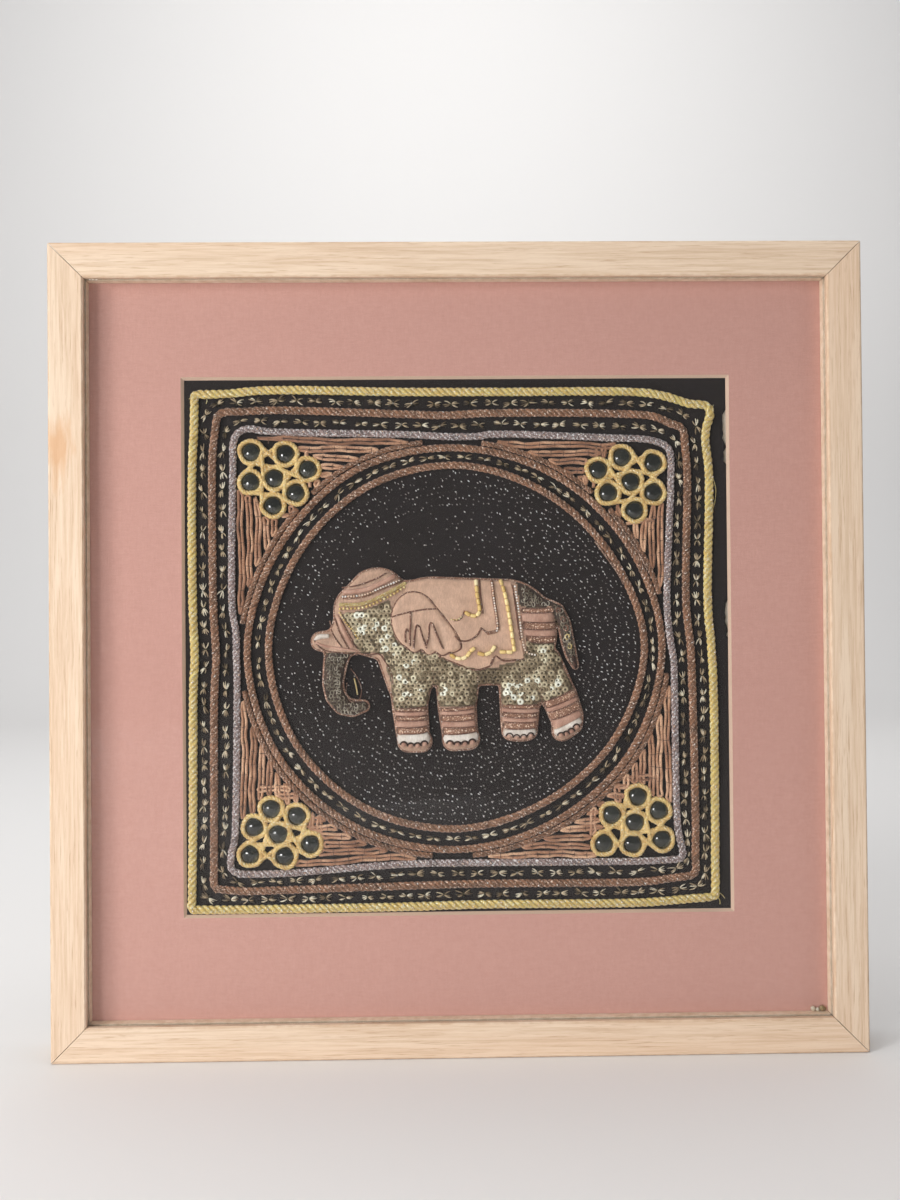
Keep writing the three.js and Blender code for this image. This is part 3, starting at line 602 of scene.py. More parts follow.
class RosetteSettings(bpy.types.PropertyGroup):
    glass_radius: length_setting("Cabochon radius", "Radius of a glass cabochon at its base", 0.0056, 0.002, 0.01)
    glass_rise: length_setting("Cabochon rise", "Height of a cabochon's dome", 0.0036, 0.001, 0.01)
    ring_radius: length_setting("Ring radius", "Radius of the cord ring round a cabochon", 0.0064, 0.002, 0.012)
    ring_width: length_setting("Ring cord", "Width of the cord in a ring", 0.0030, 0.0005, 0.006)
    glass_colour: colour_setting("Glass", "Dark grey-green of the cabochons", 34, 34, 28)


class ElephantSettings(bpy.types.PropertyGroup):
    rise: length_setting("Padding", "How far the padding stands above the applique's edge", 0.0031, 0.0005, 0.006)
    sequin_radius: length_setting("Sequin radius", "Radius of a ring sequin", 0.0019, 0.0005, 0.005)
    pink: colour_setting("Satin", "Pink satin of the ear and the saddle cloth", 214, 176, 150)
    flecks: IntProperty(name="Ground flecks", description="Most silver flecks sewn to the ground",
                        default=3000, min=0, max=6000)


class StageSettings(bpy.types.PropertyGroup):
    camera_place: FloatVectorProperty(name="Camera", description="Where the camera stands", subtype="TRANSLATION",
                                      unit="LENGTH", size=3, default=(-0.0126, -0.5482, 0.2470))
    camera_turn: FloatVectorProperty(name="Turn", description="Pan, pitch and roll of the camera in degrees",
                                     size=3, default=(-0.818, 0.502, 0.471))
    lens: FloatProperty(name="Lens", description="Focal length in millimetres on a 36 mm sensor", default=29.07,
                        min=10, max=200)


# ---------------------------------------------------------------- frame, mount, glass and ground cloth

class TAPESTRY_OT_frame(bpy.types.Operator):
    """Finish the frame, glass, mount and backing, and weave the ground cloth"""
    bl_idname = "tapestry.frame"
    bl_label = "Frame and ground cloth"

    def execute(self, context):
        settings = context.scene.tapestry_frame
        nodes = frame["nodes"]
        across, upright = oak_finish("limed_oak_across", "x"), oak_finish("limed_oak_upright", "z")
        for side, oak in (("bottom", across), ("top", across), ("left", upright), ("right", upright)):
            refinish(nodes[f"rail_{side}"], oak)
        slip = Finish("planed_slip", 0.6)
        grain = slip.noise(slip.spot((60, 60, 60)), 4.0, 5.0)
        slip.colour(slip.ramp(grain, [(0.3, 222, 198, 168), (0.7, 248, 230, 206)]))
        slip.bump(grain, 0.2)
        for side in ("bottom", "top", "left", "right"):
            refinish(nodes[f"slip_{side}"], slip.material)
        refinish(nodes["glass_pane"], glass_finish())
        refinish(nodes["mount_board"], mount_finish(settings))
        refinish(nodes["backing_board"], hardboard_finish())
        weave_ground_cloth(settings)
        return {"FINISHED"}


def refinish(node, material):
    """Gives one of the part's solids its finish."""
    node.data.materials.clear()
    node.data.materials.append(material)


def glass_finish():
    """Clear picture glass, which only its gloss shows."""
    made = Finish("picture_glass", 0.03, 0.0, IOR=1.9, Alpha=0.09)
    made.shader.inputs["Base Color"].default_value = (0.012, 0.016, 0.014, 1)
    smear = made.noise(made.spot((9, 9, 9)), 1.0, 3.0)
    made.rough(made.ramp(smear, [(0.3, 0.03), (0.8, 0.12)]))
    return made.material


def mount_finish(settings):
    """Linen-faced board: threads both ways, a cream core where it is cut."""
    made = Finish("linen_mount", 0.92, 0.0, Sheen_Weight=0.1)
    warp = made.noise(made.spot((2100, 300, 240)), 1.0, 3.0, 0.6)
    weft = made.noise(made.spot((240, 300, 2100)), 1.0, 3.0, 0.6)
    weave = made.maths("ADD", warp, weft)
    pink = tuple(settings.mount_colour)
    deep = tuple(c * f for c, f in zip(pink, (0.92, 0.88, 0.88)))
    pale = tuple(min(1, c * f) for c, f in zip(pink, (1.04, 1.05, 1.05)))
    face = made.blend(made.ramp(made.maths("MULTIPLY", weave, 0.5), [(0.36, 0.0), (0.64, 1.0)]), deep, pale)
    fading = made.noise(made.spot((6, 6, 6)), 1.0, 2.0)
    face = made.blend(made.ramp(fading, [(0.35, 0.0), (0.8, 0.3)]), face, deep)
    made.colour(made.blend(facing_front(made), tuple(settings.bevel_colour), face))
    made.bump(weave, 0.18, 0.00015)
    return made.material


def facing_front(made):
    """1 where a surface faces the viewer's side of the frame, 0 elsewhere."""
    normal = made.node("ShaderNodeNewGeometry").outputs["True Normal"]
    return made.maths("LESS_THAN", made.node("ShaderNodeSeparateXYZ", {0: normal}).outputs["Y"], -0.9)


def hardboard_finish():
    """Brown hardboard, with the cream paper on its front that shows past the cloth's torn side."""
    made = Finish("hardboard", 0.8)
    felt = made.noise(made.spot(), 420, 4.0)
    cloudy = made.noise(made.spot(), 14, 3.0)
    base = made.ramp(felt, [(0.3, 134, 100, 68), (0.7, 168, 132, 94)])
    base = made.blend(made.ramp(cloudy, [(0.4, 0.0), (0.8, 0.5)]), base, srgb(120, 88, 60))
    paper = made.ramp(felt, [(0.3, 238, 224, 198), (0.7, 255, 248, 234)])
    made.colour(made.blend(facing_front(made), base, paper))
    made.bump(felt, 0.3)
    return made.material


def black_cloth_finish(settings):
    """Black cotton with a fine twill line and lint."""
    made = Finish("black_cotton", 0.95, 0.0, Sheen_Weight=0.08)
    base = tuple(settings.cloth_colour)
    where = made.spot((1, 1, 1), (0, math.radians(45), 0))
    rib = made.node("ShaderNodeTexWave", {"Vector": where, "Scale": 420.0, "Distortion": 1.2, "Detail": 2.0,
                                          "Detail Scale": 3.0}, bands_direction="X").outputs["Fac"]
    lint = made.noise(made.spot(), 700, 3.0)
    worn = made.noise(made.spot(), 30, 3.0)
    tone = made.blend(made.maths("MULTIPLY", rib, 0.5), shade(base, 0.55), shade(base, 1.25))
    tone = made.blend(made.ramp(lint, [(0.62, 0.0), (0.75, 0.35)]), tone, srgb(92, 84, 88))
    tone = made.blend(made.ramp(worn, [(0.4, 0.0), (0.8, 0.25)]), tone, srgb(48, 42, 47))
    made.colour(tone)
    made.bump(made.maths("ADD", rib, lint), 0.4, 0.0003)
    return made.material


def weave_ground_cloth(settings):
    """The black cloth behind everything, stretched flat, with its uneven right side, which is torn in part."""
    rows, columns = 126, 122
    left, torn_from, torn_to = -166, 226, 362
    side = np.asarray(CLOTH_RIGHT_SIDE, float)
    heights = np.linspace(side[0, 1], side[-1, 1], rows)
    right = np.interp(heights, side[:, 1], side[:, 0])
    rng = np.random.default_rng(5)
    right += np.where((heights > torn_from) & (heights < torn_to), rng.uniform(-0.35, 0.35, rows), 0)
    share = np.linspace(0, 1, columns)
    x = left + share[None, :] * (right[:, None] - left)
    z = np.repeat(heights[:, None], columns, 1)
    pucker = 0.12 * np.sin(x / 3.1) * np.sin(z / 3.7) * (np.hypot(x, z - 226) < 150)
    front = np.stack([x, z, CLOTH_FRONT + 0.05 + pucker], axis=2).reshape(-1, 3)
    back = front.copy()
    back[:, 2] = CLOTH_BACK
    faces = grid_faces(rows, columns)
    n = rows * columns
    rim = np.concatenate([np.arange(columns - 1), np.arange(rows - 1) * columns + columns - 1,
                          np.arange(n - 1, n - columns, -1), np.arange(rows - 1, 0, -1) * columns])
    beside = np.roll(rim, -1)
    walls = np.column_stack([rim, rim + n, beside + n, beside])
    stock = Stock()
    stock.add(np.vstack([front, back]), np.vstack([faces, faces[:, ::-1] + n, walls]), np.tile(x.ravel(), 2))
    cloth = piece("ground_cloth_woven", stock, black_cloth_finish(settings), ["ground_cloth"])


# ---------------------------------------------------------------- cords and thread eyes

class TAPESTRY_OT_cords(bpy.types.Operator):
    """Twist and lay the five couched cords"""
    bl_idname = "tapestry.cords"
    bl_label = "Couched cords"

    def execute(self, context):
        settings = context.scene.tapestry_cords
        gold, brown, lilac = settings.gold_width / MM, settings.brown_width / MM, settings.lilac_width / MM
        pitch = settings.twist / MM
        gold_thread = thread_finish("gold_thread", shade(settings.gold_colour, 0.72),
                                    tuple(settings.gold_colour), 0.4, 0.08, srgb(255, 250, 214), 0.12)
        brown_thread = thread_finish("brown_thread", shade(settings.brown_colour, 0.34),
                                     tuple(settings.brown_colour), 0.6, 0.05, srgb(255, 226, 204), 0.08)
        lilac_thread = thread_finish("lilac_thread", shade(settings.lilac_colour, 0.4),
                                     tuple(settings.lilac_colour), 0.55, 0.05, srgb(255, 252, 252), 0.12)
        plan = [
            ("gold_cord_twisted", "cord_gold", GOLD_ROUTE, gold, 3.3, pitch, gold_thread, "gold_cord"),
            ("brown_cord_twisted", "cord_brown", BROWN_ROUTE, brown, 3.0, pitch * 0.9, brown_thread, "brown_cord"),
            ("lilac_cord_twisted", "cord_lilac", LILAC_ROUTE, lilac, 2.9, pitch * 0.86, lilac_thread, "lilac_cord"),
            ("medallion_outer_twisted", "medallion_cord_outer", OUTER_ROUTE, brown * 0.93, 2.9, pitch * 0.9,
             brown_thread, "brown_cord"),
            ("medallion_inner_twisted", "medallion_cord_inner", INNER_ROUTE, brown * 0.93, 2.9, pitch * 0.9,
             brown_thread, "brown_cord"),
        ]
        for seed, (name, node, route, width, height, turn, thread, slot) in enumerate(plan):
            stock = Stock()
            line = lifted(closed_curve(route), CLOTH_FRONT + height / 2)
            twisted_cord(stock, line, width, height, turn, seed=seed + 11, core=0.37)
            piece(name, stock, thread, [node])
        self.edge_strands(brown_thread, brown * 0.72, pitch * 0.8)
        # Slivers of real metal thread whose near-white tones are partly painted glint.
        metal = sparkle_finish("metal_flecks_painted_glint")
        stock = Stock()
        rng = np.random.default_rng(31)
        for route, width, height, share in (
                (BROWN_ROUTE, brown, 3.0, 0.4), (LILAC_ROUTE, lilac, 2.9, 0.6), (OUTER_ROUTE, brown, 2.9, 0.45),
                (INNER_ROUTE, brown, 2.9, 0.45), (GOLD_ROUTE, gold, 3.3, 0.25)):
            cord_sparkles(stock, rng, route, width, height, share)
        piece("cord_sparkles", stock, metal)
        return {"FINISHED"}

    def edge_strands(self, thread, width, turn):
        """The extra brown cord outside the medallion's, wherever the lilac cord and the rosettes leave it room."""
        apart, from_lilac, from_glass, shortest = 3.95, 4.1, 9.0, 12
        ring = even_curve(OUTER_ROUTE, 0.8)
        line = set_off(ring, -apart)
        if np.linalg.norm(line[0] - MEDALLION_CENTRE) < np.linalg.norm(ring[0] - MEDALLION_CENTRE):
            line = set_off(ring, apart)
        lilac = even_curve(LILAC_ROUTE, 1.0)
        beads = np.array([spot for corner in ROSETTES.values() for spot in corner])
        room = (nearest(line, lilac) > from_lilac) & (nearest(line, beads) > from_glass)
        first = int(np.flatnonzero(~room)[0])
        line, room = np.roll(line, -first, 0), np.roll(room, -first)
        ends = np.flatnonzero(np.diff(np.concatenate([[0], room.astype(int), [0]])))
        stock = Stock()
        for number, (start, stop) in enumerate(zip(ends[::2], ends[1::2])):
            if stop - start > shortest:
                twisted_cord(stock, lifted(line[start:stop], CLOTH_FRONT + 1.15), width, 2.1, turn, sides=5,
                             closed=False, seed=number + 70, core=0.36)
        piece("medallion_edge_strands", stock, thread)


def sparkle_finish(name):
    """Slivers and small beads of metal."""
    tones = [(0.0, 236, 196, 164), (0.5, 255, 238, 220), (1.0, 255, 255, 252)]
    return bead_finish(name, 0.3, 0.15, tones, relief=0.2)


def fleck(stock, centre, length, width, angle, chance):
    """A sliver of bright thread: long, thin and pointed at both ends."""
    c, s = math.cos(angle), math.sin(angle)
    local = np.array([(-length / 2, 0, 0), (0, -width / 2, 0), (length / 2, 0, 0), (0, width / 2, 0),
                      (0, 0, width * 0.6), (0, 0, -width * 0.6)])
    points = np.column_stack([local[:, 0] * c - local[:, 1] * s, local[:, 0] * s + local[:, 1] * c, local[:, 2]])
    faces = [(0, 1, 4), (1, 2, 4), (2, 3, 4), (3, 0, 4), (1, 0, 5), (2, 1, 5), (3, 2, 5), (0, 3, 5)]
    stock.add(points + centre, faces, 0.0, chance)


def cord_sparkles(stock, rng, route, width, height, share):
    """Slivers of metal thread that surface on a cord's crowns, in near-white tones that are partly painted glint."""
    line = even_curve(route, 2.6)
    ahead = headings(line, True)
    for (x, z), (dx, dz) in zip(line, ahead):
        if rng.random() > share:
            continue
        off = rng.uniform(-0.36, 0.36) * width
        heading = math.atan2(dz, dx)
        rise = CLOTH_FRONT + height + 0.24 - 3.8 * (off / width) ** 2
        fleck(stock, (x - dz * off, z + dx * off, rise), rng.uniform(1.1, 1.9), rng.uniform(0.55, 0.85),
              heading + rng.choice([-1.1, -0.85, -0.55]), chance=rng.random())


class TAPESTRY_OT_eyes(bpy.types.Operator):
    """Sew the rows of thread eyes between the cords"""
    bl_idname = "tapestry.eyes"
    bl_label = "Thread eyes"

    def execute(self, context):
        settings = context.scene.tapestry_cords
        length, width = settings.eye_length / MM, settings.eye_width / MM
        stock, knots = Stock(), Stock()
        rng = np.random.default_rng(8)
        rows = ((midway(GOLD_ROUTE, BROWN_ROUTE), 11.0, 1.1), (midway(BROWN_ROUTE, LILAC_ROUTE), 11.2, 1.0),
                (midway(OUTER_ROUTE, INNER_ROUTE), 10.9, 0.78))
        for line, pitch, slim in rows:
            line = even_line(line, pitch, True)
            ahead = headings(line, True)
            for (x, z), (dx, dz) in zip(line, ahead):
                shift = rng.uniform(-0.9, 0.9)
                thread_eye(stock, knots, rng, (x + dx * shift, z + dz * shift),
                           math.atan2(dz, dx) + rng.uniform(-0.16, 0.16),
                           length * rng.uniform(0.88, 1.08), width * slim * rng.uniform(0.85, 1.1))
        eyes = Finish("eye_thread", 0.42, 0.1)
        tone = eyes.ramp(eyes.mark("chance"), [(0.0, 84, 72, 56), (0.4, 170, 148, 118),
                                               (0.75, 226, 206, 172), (1.0, 255, 246, 222)])
        eyes.grooves(tone, srgb(74, 62, 50), 1500, 2.0, [(0.35, 0.5), (0.52, 0.0)], 0.5)
        piece("thread_eyes", stock, eyes.material)
        knot = bead_finish("eye_knot", 0.3, 0.3, [(0.0, 52, 52, 40), (0.5, 96, 84, 64), (1.0, 240, 232, 220)],
                           1200, 0.3)
        piece("eye_knots", knots, knot)
        return {"FINISHED"}


def midway(outer, inner):
    """The line half-way between two closed cords."""
    outer = even_curve(outer, 2.0)
    inner = even_curve(inner, 1.0)
    near = np.argmin(np.linalg.norm(outer[:, None] - inner[None], axis=2), axis=1)
    middle = (outer + inner[near]) / 2
    keep = np.concatenate([[True], np.linalg.norm(np.diff(middle, axis=0), axis=1) > 0.2])
    return middle[keep]


def thread_eye(stock, knots, rng, centre, angle, length, width):
    """Slivers of bright thread that fan out both ways from a dark stitch, and lean as they were pulled."""
    c, s = math.cos(angle), math.sin(angle)
    share = np.linspace(0, 1, 6)
    taper = 0.25 + 0.85 * np.sin(math.pi * (0.1 + 0.85 * share)) ** 0.9
    opening = width / length * 1.25
    root = 0.3  # where a sliver starts, from the eye's middle
    for end in (-1, 1):
        lean, tone = rng.normal(0, 0.16), rng.uniform(0.3, 0.9)
        missing = rng.integers(0, 6)  # none, when it is 4 or 5
        for k, spread in enumerate((-1.0, -0.35, 0.35, 1.0)):
            if k == missing:
                continue
            turn = lean + spread * opening * rng.uniform(0.7, 1.25)
            reach = length / 2 * rng.uniform(0.72, 1.05)
            u = root + share * (reach - root)
            bow = 0.35 * spread * np.sin(math.pi * share)
            along = end * u * math.cos(turn)
            across = u * math.sin(turn) + bow
            rise = CLOTH_FRONT + 0.35 + 0.8 * np.sin(math.pi * (0.15 + 0.75 * share)) * (1 - 0.3 * spread**2)
            line = np.column_stack([centre[0] + along * c - across * s, centre[1] + along * s + across * c, rise])
            tube(stock, line, rng.uniform(0.26, 0.4) * taper, 4, False, 0.9,
                 chance=np.clip(tone + rng.choice([-0.5, -0.2, 0.1, 0.3]), 0, 1))
    over = np.linspace(-1, 1, 5)
    line = np.column_stack([centre[0] - over * s * width * 0.5, centre[1] + over * c * width * 0.5,
                            CLOTH_FRONT + 0.35 + 0.7 * (1 - over**2)])
    tube(knots, line, 0.32, 4, False, 1.0, chance=rng.uniform(0.0, 0.35))
    if rng.random() < 0.12:
        spot = (centre[0] + rng.uniform(-0.4, 0.4), centre[1] + rng.uniform(-0.4, 0.1), CLOTH_FRONT + 1.2)
        ball(knots, spot, 0.55, 4, 7, 0.8, rng.uniform(0.55, 1.0))


# ---------------------------------------------------------------- rosettes

class TAPESTRY_OT_rosettes(bpy.types.Operator):
    """Set the glass cabochons and lead the gold cord round them"""
    bl_idname = "tapestry.rosettes"
    bl_label = "Cabochon rosettes"

    def execute(self, context):
        settings = context.scene.tapestry_rosettes
        radius, rise = settings.glass_radius / MM, settings.glass_rise / MM
        ring, width = settings.ring_radius / MM, settings.ring_width / MM
        glass = cabochon_finish(settings)
        thread = thread_finish("ring_thread", srgb(206, 160, 92), srgb(250, 216, 146), 0.42, 0.15,
                               srgb(255, 244, 206), 0.08)
        dome = [(radius * math.cos(a), rise * math.sin(a)) for a in np.linspace(0, math.pi / 2, 9)[:-1]]
        for corner, centres in ROSETTES.items():
            rng = np.random.default_rng(len(corner) * 7)
            domes, cords = Stock(), Stock()
            for x, z in centres:
                cabochon_dome(domes, (x, z, CLOTH_FRONT + 0.1), dome, rise, 28, rng.random())
            for k, (x, z) in enumerate(centres):
                turn = angles_round(48)
                r = ring * (1 + 0.035 * np.sin(turn * 3 + k) + 0.02 * np.sin(turn * 5 + 2 * k))
                line = np.column_stack([x + r * np.cos(turn), z + r * np.sin(turn),
                                        CLOTH_FRONT + width / 2 + 0.25 * np.sin(turn * 2 + k)])
                twisted_cord(cords, line, width, width, 5.4, step=0.65, sides=5, seed=k + len(corner), core=0.4)
            ring_links(cords, rng, centres, ring, width)
            nodes = [f"cabochon_{corner}_{k + 1}" for k in range(len(centres))]
            piece(f"cabochon_glass_{corner}", domes, glass, nodes)
            piece(f"ring_cord_{corner}", cords, thread, [f"ring_cords_{corner}"])
        return {"FINISHED"}


def cabochon_dome(stock, centre, dome, rise, sides, chance):
    """A glass dome with a closed base. "run" is lighter toward the lower right, where light gathers in the glass."""
    turn = angles_round(sides)
    points, glow = [], []
    for r, h in [(dome[0][0] * 0.98, -0.2)] + list(dome):
        for a in turn:
            points.append((r * math.cos(a), r * math.sin(a), h))
            aim = math.cos(a + 0.7) * r / dome[0][0]
            glow.append(max(0.0, aim) ** 3.2)
    points += [(0, 0, rise), (0, 0, -0.2)]
    glow += [0.0, 0.0]
    rows, side = len(dome) + 1, np.arange(sides)
    end = rows * sides
    faces = [grid_faces(rows, sides, wrap_columns=True), cap_faces(end, side + end - sides),
             cap_faces(end + 1, side, backward=True)]
    stock.add(np.asarray(points) + centre, np.vstack(faces), glow, chance)


def cabochon_finish(settings):
    """Dark glass, cloudy where light gathers in it."""
    made = Finish("cabochon_glass", 0.05, 0.0, IOR=1.8)
    base = tuple(settings.glass_colour)
    cloud = made.noise(made.spot(), 260, 3.0)
    light = made.maths("MULTIPLY", made.mark("run"), made.ramp(cloud, [(0.3, 0.2), (0.7, 1.0)]))
    tone = made.blend(made.mark("chance"), shade(base, 0.7), shade(base, 1.7))
    made.colour(made.blend(light, tone, srgb(128, 126, 98)))
    made.bump(made.noise(made.spot(), 120, 1.0), 0.05)
    return made.material


def ring_links(stock, rng, centres, ring, width):
    """The cord where it crosses from ring to ring, and so closes the gap between them."""
    farthest = 20.5
    for i, a in enumerate(centres):
        for b in centres[i + 1:]:
            if math.dist(a, b) > farthest:
                continue
            heading = math.atan2(b[1] - a[1], b[0] - a[0])
            for side in (-1, 0, 1):
                if rng.random() < 0.15:
                    continue
                lean = (side + rng.uniform(-0.2, 0.2)) * 0.5
                start = (a[0] + ring * math.cos(heading + lean), a[1] + ring * math.sin(heading + lean))
                end = (b[0] - ring * math.cos(heading + lean), b[1] - ring * math.sin(heading + lean))
                line = open_curve([start, ((start[0] + end[0]) / 2, (start[1] + end[1]) / 2), end], 7)
                hump = 0.35 * (1 - np.linspace(-1, 1, len(line))**2)
                line = lifted(line, CLOTH_FRONT + width / 2 - 0.1 + side * 0.2 + hump)
                twisted_cord(stock, line, width * 0.9, width * 0.9, 5.0, step=0.6, sides=5, closed=False,
                             seed=int(rng.integers(1000)), core=0.4)


# ---------------------------------------------------------------- yarn

YARN_WEDGES = [
    ("yarn_top_left", 0, -1, "top_left"), ("yarn_top_right", 0, 1, "top_right"),
    ("yarn_right_upper", 1, -1, "top_right"), ("yarn_right_lower", 1, 1, "bottom_right"),
    ("yarn_bottom_right", 2, -1, "bottom_right"), ("yarn_bottom_left", 2, 1, "bottom_left"),
    ("yarn_left_lower", 3, -1, "bottom_left"), ("yarn_left_upper", 3, 1, "top_left"),
]
YARN_FROM_BORDER, YARN_PITCH, YARN_HALF_GAP = 4.15, 4.75, 1.02


class TAPESTRY_OT_yarn(bpy.types.Operator):
    """Lay the paired yarn between the medallion and the borders"""
    bl_idname = "tapestry.yarn"
    bl_label = "Laid yarn"

    def execute(self, context):
        finish = Finish("tan_yarn", 0.7, 0.0, Sheen_Weight=0.25)
        patches = finish.noise(finish.spot(), 90, 2.0)
        tone = finish.ramp(finish.mark("chance"), [(0.0, 130, 90, 66), (0.5, 188, 140, 108), (1.0, 236, 192, 156)])
        tone = finish.blend(finish.ramp(patches, [(0.4, 0.0), (0.7, 0.35)]), tone, srgb(176, 134, 112))
        finish.grooves(tone, srgb(96, 64, 48), 1500, 3.0, [(0.35, 0.6), (0.52, 0.0)], 0.5)
        ties = Stock()
        for seed, (name, quarter, half, corner) in enumerate(YARN_WEDGES):
            stock = Stock()
            rng = np.random.default_rng(seed + 40)
            for row in yarn_rows(quarter, half, corner):
                yarn_hairpin(stock, ties, rng, row, quarter)
            piece(f"{name}_laid", stock, finish.material, [name])
        tie = thread_finish("tie_thread", srgb(84, 56, 44), srgb(132, 96, 76), 0.6, 0.0)
        piece("yarn_ties", ties, tie)
        return {"FINISHED"}


def quarter_turns(points, quarter):
    """Flat points turned about zero by quarter turns."""
    c, s = round(math.cos(quarter * math.pi / 2)), round(math.sin(quarter * math.pi / 2))
    return np.column_stack([points[:, 0] * c - points[:, 1] * s, points[:, 0] * s + points[:, 1] * c])


def turned(points, quarter):
    """Flat points turned with a side of the square to the top, the medallion's centre at zero."""
    return quarter_turns(np.asarray(points, float) - MEDALLION_CENTRE, quarter)


def turned_back(points, quarter):
    """Points of the turned square, back in the panel."""
    return quarter_turns(points, -quarter) + MEDALLION_CENTRE


def yarn_rows(quarter, half, corner):
    """The rows of one wedge in the turned square: for each, the ends of its upper and its lower yarn."""
    from_ring, from_glass, from_border = 6.1, 8.4, 2.9
    border = turned(even_curve(LILAC_ROUTE, 2.0), quarter)
    ring = turned(even_curve(OUTER_ROUTE, 1.2), quarter)
    rosette = turned(ROSETTES[corner], quarter)
    near, far = 12, 92
    beside = border[(border[:, 1] > 0) & (half * border[:, 0] > near) & (half * border[:, 0] < far)]
    first = beside[np.argmin(np.abs(half * beside[:, 0] - near))]
    last = beside[np.argmin(np.abs(half * beside[:, 0] - far))]
    slope = (last[1] - first[1]) / (last[0] - first[0])
    level = np.min(beside[:, 1] - slope * beside[:, 0]) - YARN_FROM_BORDER
    away = np.arange(2, 112, 0.4)

    def strand(offset):
        line = np.column_stack([half * away, level + slope * half * away + offset])
        gaps = np.linalg.norm(ring[None] - line[:, None], axis=2)
        outside = np.linalg.norm(line, axis=1) > np.linalg.norm(ring[gaps.argmin(axis=1)], axis=1)
        clear = outside & (gaps.min(axis=1) > from_ring)
        good = np.flatnonzero(clear & (nearest(line, rosette) > from_glass) & (nearest(line, border) > from_border))
        if len(good) < 6:
            return None
        breaks = np.flatnonzero(np.diff(good) > 1)
        stop = good[breaks[0]] if len(breaks) else good[-1]
        return line[good[0]], line[stop]

    rows = []
    for row in range(10):
        upper, lower = (strand(side * YARN_HALF_GAP - row * YARN_PITCH) for side in (1, -1))
        if upper is not None and lower is not None:
            rows.append((upper, lower))
    return rows


def yarn_hairpin(stock, ties, rng, row, quarter):
    """Yarn laid out and back along a row, with a round turn at each end, tied down here and there."""
    (a, b), (c, d) = (np.array(ends) for ends in row)
    heading = (b - a) / max(np.linalg.norm(b - a), 1e-6)
    across = np.array([-heading[1], heading[0]])
    phase = rng.uniform(0, 6, 3)
    tied = np.arange(a @ heading + rng.uniform(4, 7), b @ heading - 3, rng.uniform(6.5, 9))

    def sway(along):
        return 0.42 * np.sin(along / 7.3 + phase[0]) + 0.2 * np.sin(along / 3.1 + phase[1])

    def run(start, end, side):
        line = even_line(np.array([start, end]), 1.1)
        along = line @ heading
        near_end = np.minimum(np.abs(along - along[0]), np.abs(along - along[-1]))
        pull = np.exp(-(np.min(np.abs(along[:, None] - tied[None]), axis=1, initial=9) / 0.9) ** 2)
        apart = 0.28 * np.exp(-(near_end / 2.2) ** 2) - 0.16 * pull + 0.12 * np.sin(along / 2.3 + phase[2] * side)
        return line + (sway(along) + side * apart + 0.04 * rng.normal(0, 1, len(line)))[:, None] * across

    upper, lower = run(a, b, 1), run(d, c, -1)
    far = (upper[-1] + lower[0]) / 2 + 0.95 * heading
    near = (upper[0] + lower[-1]) / 2 - 0.95 * heading
    loop = turned_back(np.vstack([upper, far, lower, near]), quarter)
    rise = CLOTH_FRONT + 1.0 + 0.2 * smooth_noise(rng, len(loop), 5)
    tone = rng.uniform(0.3, 0.8)
    radius = rng.uniform(0.82, 0.9) * (1 + 0.1 * smooth_noise(rng, len(loop), 3))
    tube(stock, lifted(loop, rise), radius, 7, True, 1.1,
         chance=np.clip(tone + 0.4 * smooth_noise(rng, len(loop), 5), 0, 1))
    over = np.linspace(-1, 1, 7)
    for along in tied:
        middle = (a + c) / 2 + heading * (along - (a + c) @ heading / 2) + sway(along) * across
        slant = over[:, None] * rng.uniform(-0.4, 0.4) * heading
        line = turned_back(middle + over[:, None] * 1.85 * across + slant, quarter)
        tube(ties, lifted(line, CLOTH_FRONT + 0.6 + 1.55 * (1 - over**4)), 0.2, 4, chance=rng.uniform(0, 0.4))


# ---------------------------------------------------------------- the elephant

def limb_depth(x, z, stretch):
    """How far inside one stretch of a limb a point lies, or less than 0 outside it."""
    (x0, z0, r0), (x1, z1, r1) = stretch
    dx, dz = x1 - x0, z1 - z0
    share = np.clip(((x - x0) * dx + (z - z0) * dz) / (dx * dx + dz * dz), 0, 1)
    return r0 + (r1 - r0) * share - np.hypot(x - x0 - share * dx, z - z0 - share * dz)


def body_depth(x, z):
    """How far inside the elephant's outline a point lies, or less than 0 outside it."""
    return np.max([limb_depth(x, z, stretch) for stretch in STRETCHES], axis=0)


def tail_depth(x, z):
    return np.max([limb_depth(x, z, stretch) for stretch in zip(LIMBS["tail"], LIMBS["tail"][1:])], axis=0)


def polygon_depth(points, x, z):
    """How far inside a polygon each point lies, or less than 0 outside it."""
    x, z = np.asarray(x, float), np.asarray(z, float)
    best, inside = np.full(x.shape, 1e9), np.zeros(x.shape, bool)
    for (ax, az), (bx, bz) in zip(points, np.roll(points, -1, 0)):
        dx, dz = bx - ax, bz - az
        share = np.clip(((x - ax) * dx + (z - az) * dz) / max(dx * dx + dz * dz, 1e-9), 0, 1)
        best = np.minimum(best, np.hypot(x - ax - share * dx, z - az - share * dz))
        inside ^= ((az > z) != (bz > z)) & (x < dx * (z - az) / (dz if dz else 1e-9) + ax)
    return np.where(inside, best, -best)


def bezier(p0, p1, p2, p3):
    """Ten points of a cubic curve, without its end."""
    t = (np.arange(10) / 10)[:, None]
    return ((1 - t)**3 * np.array(p0) + 3 * (1 - t)**2 * t * np.array(p1)
            + 3 * (1 - t) * t**2 * np.array(p2) + t**3 * np.array(p3))


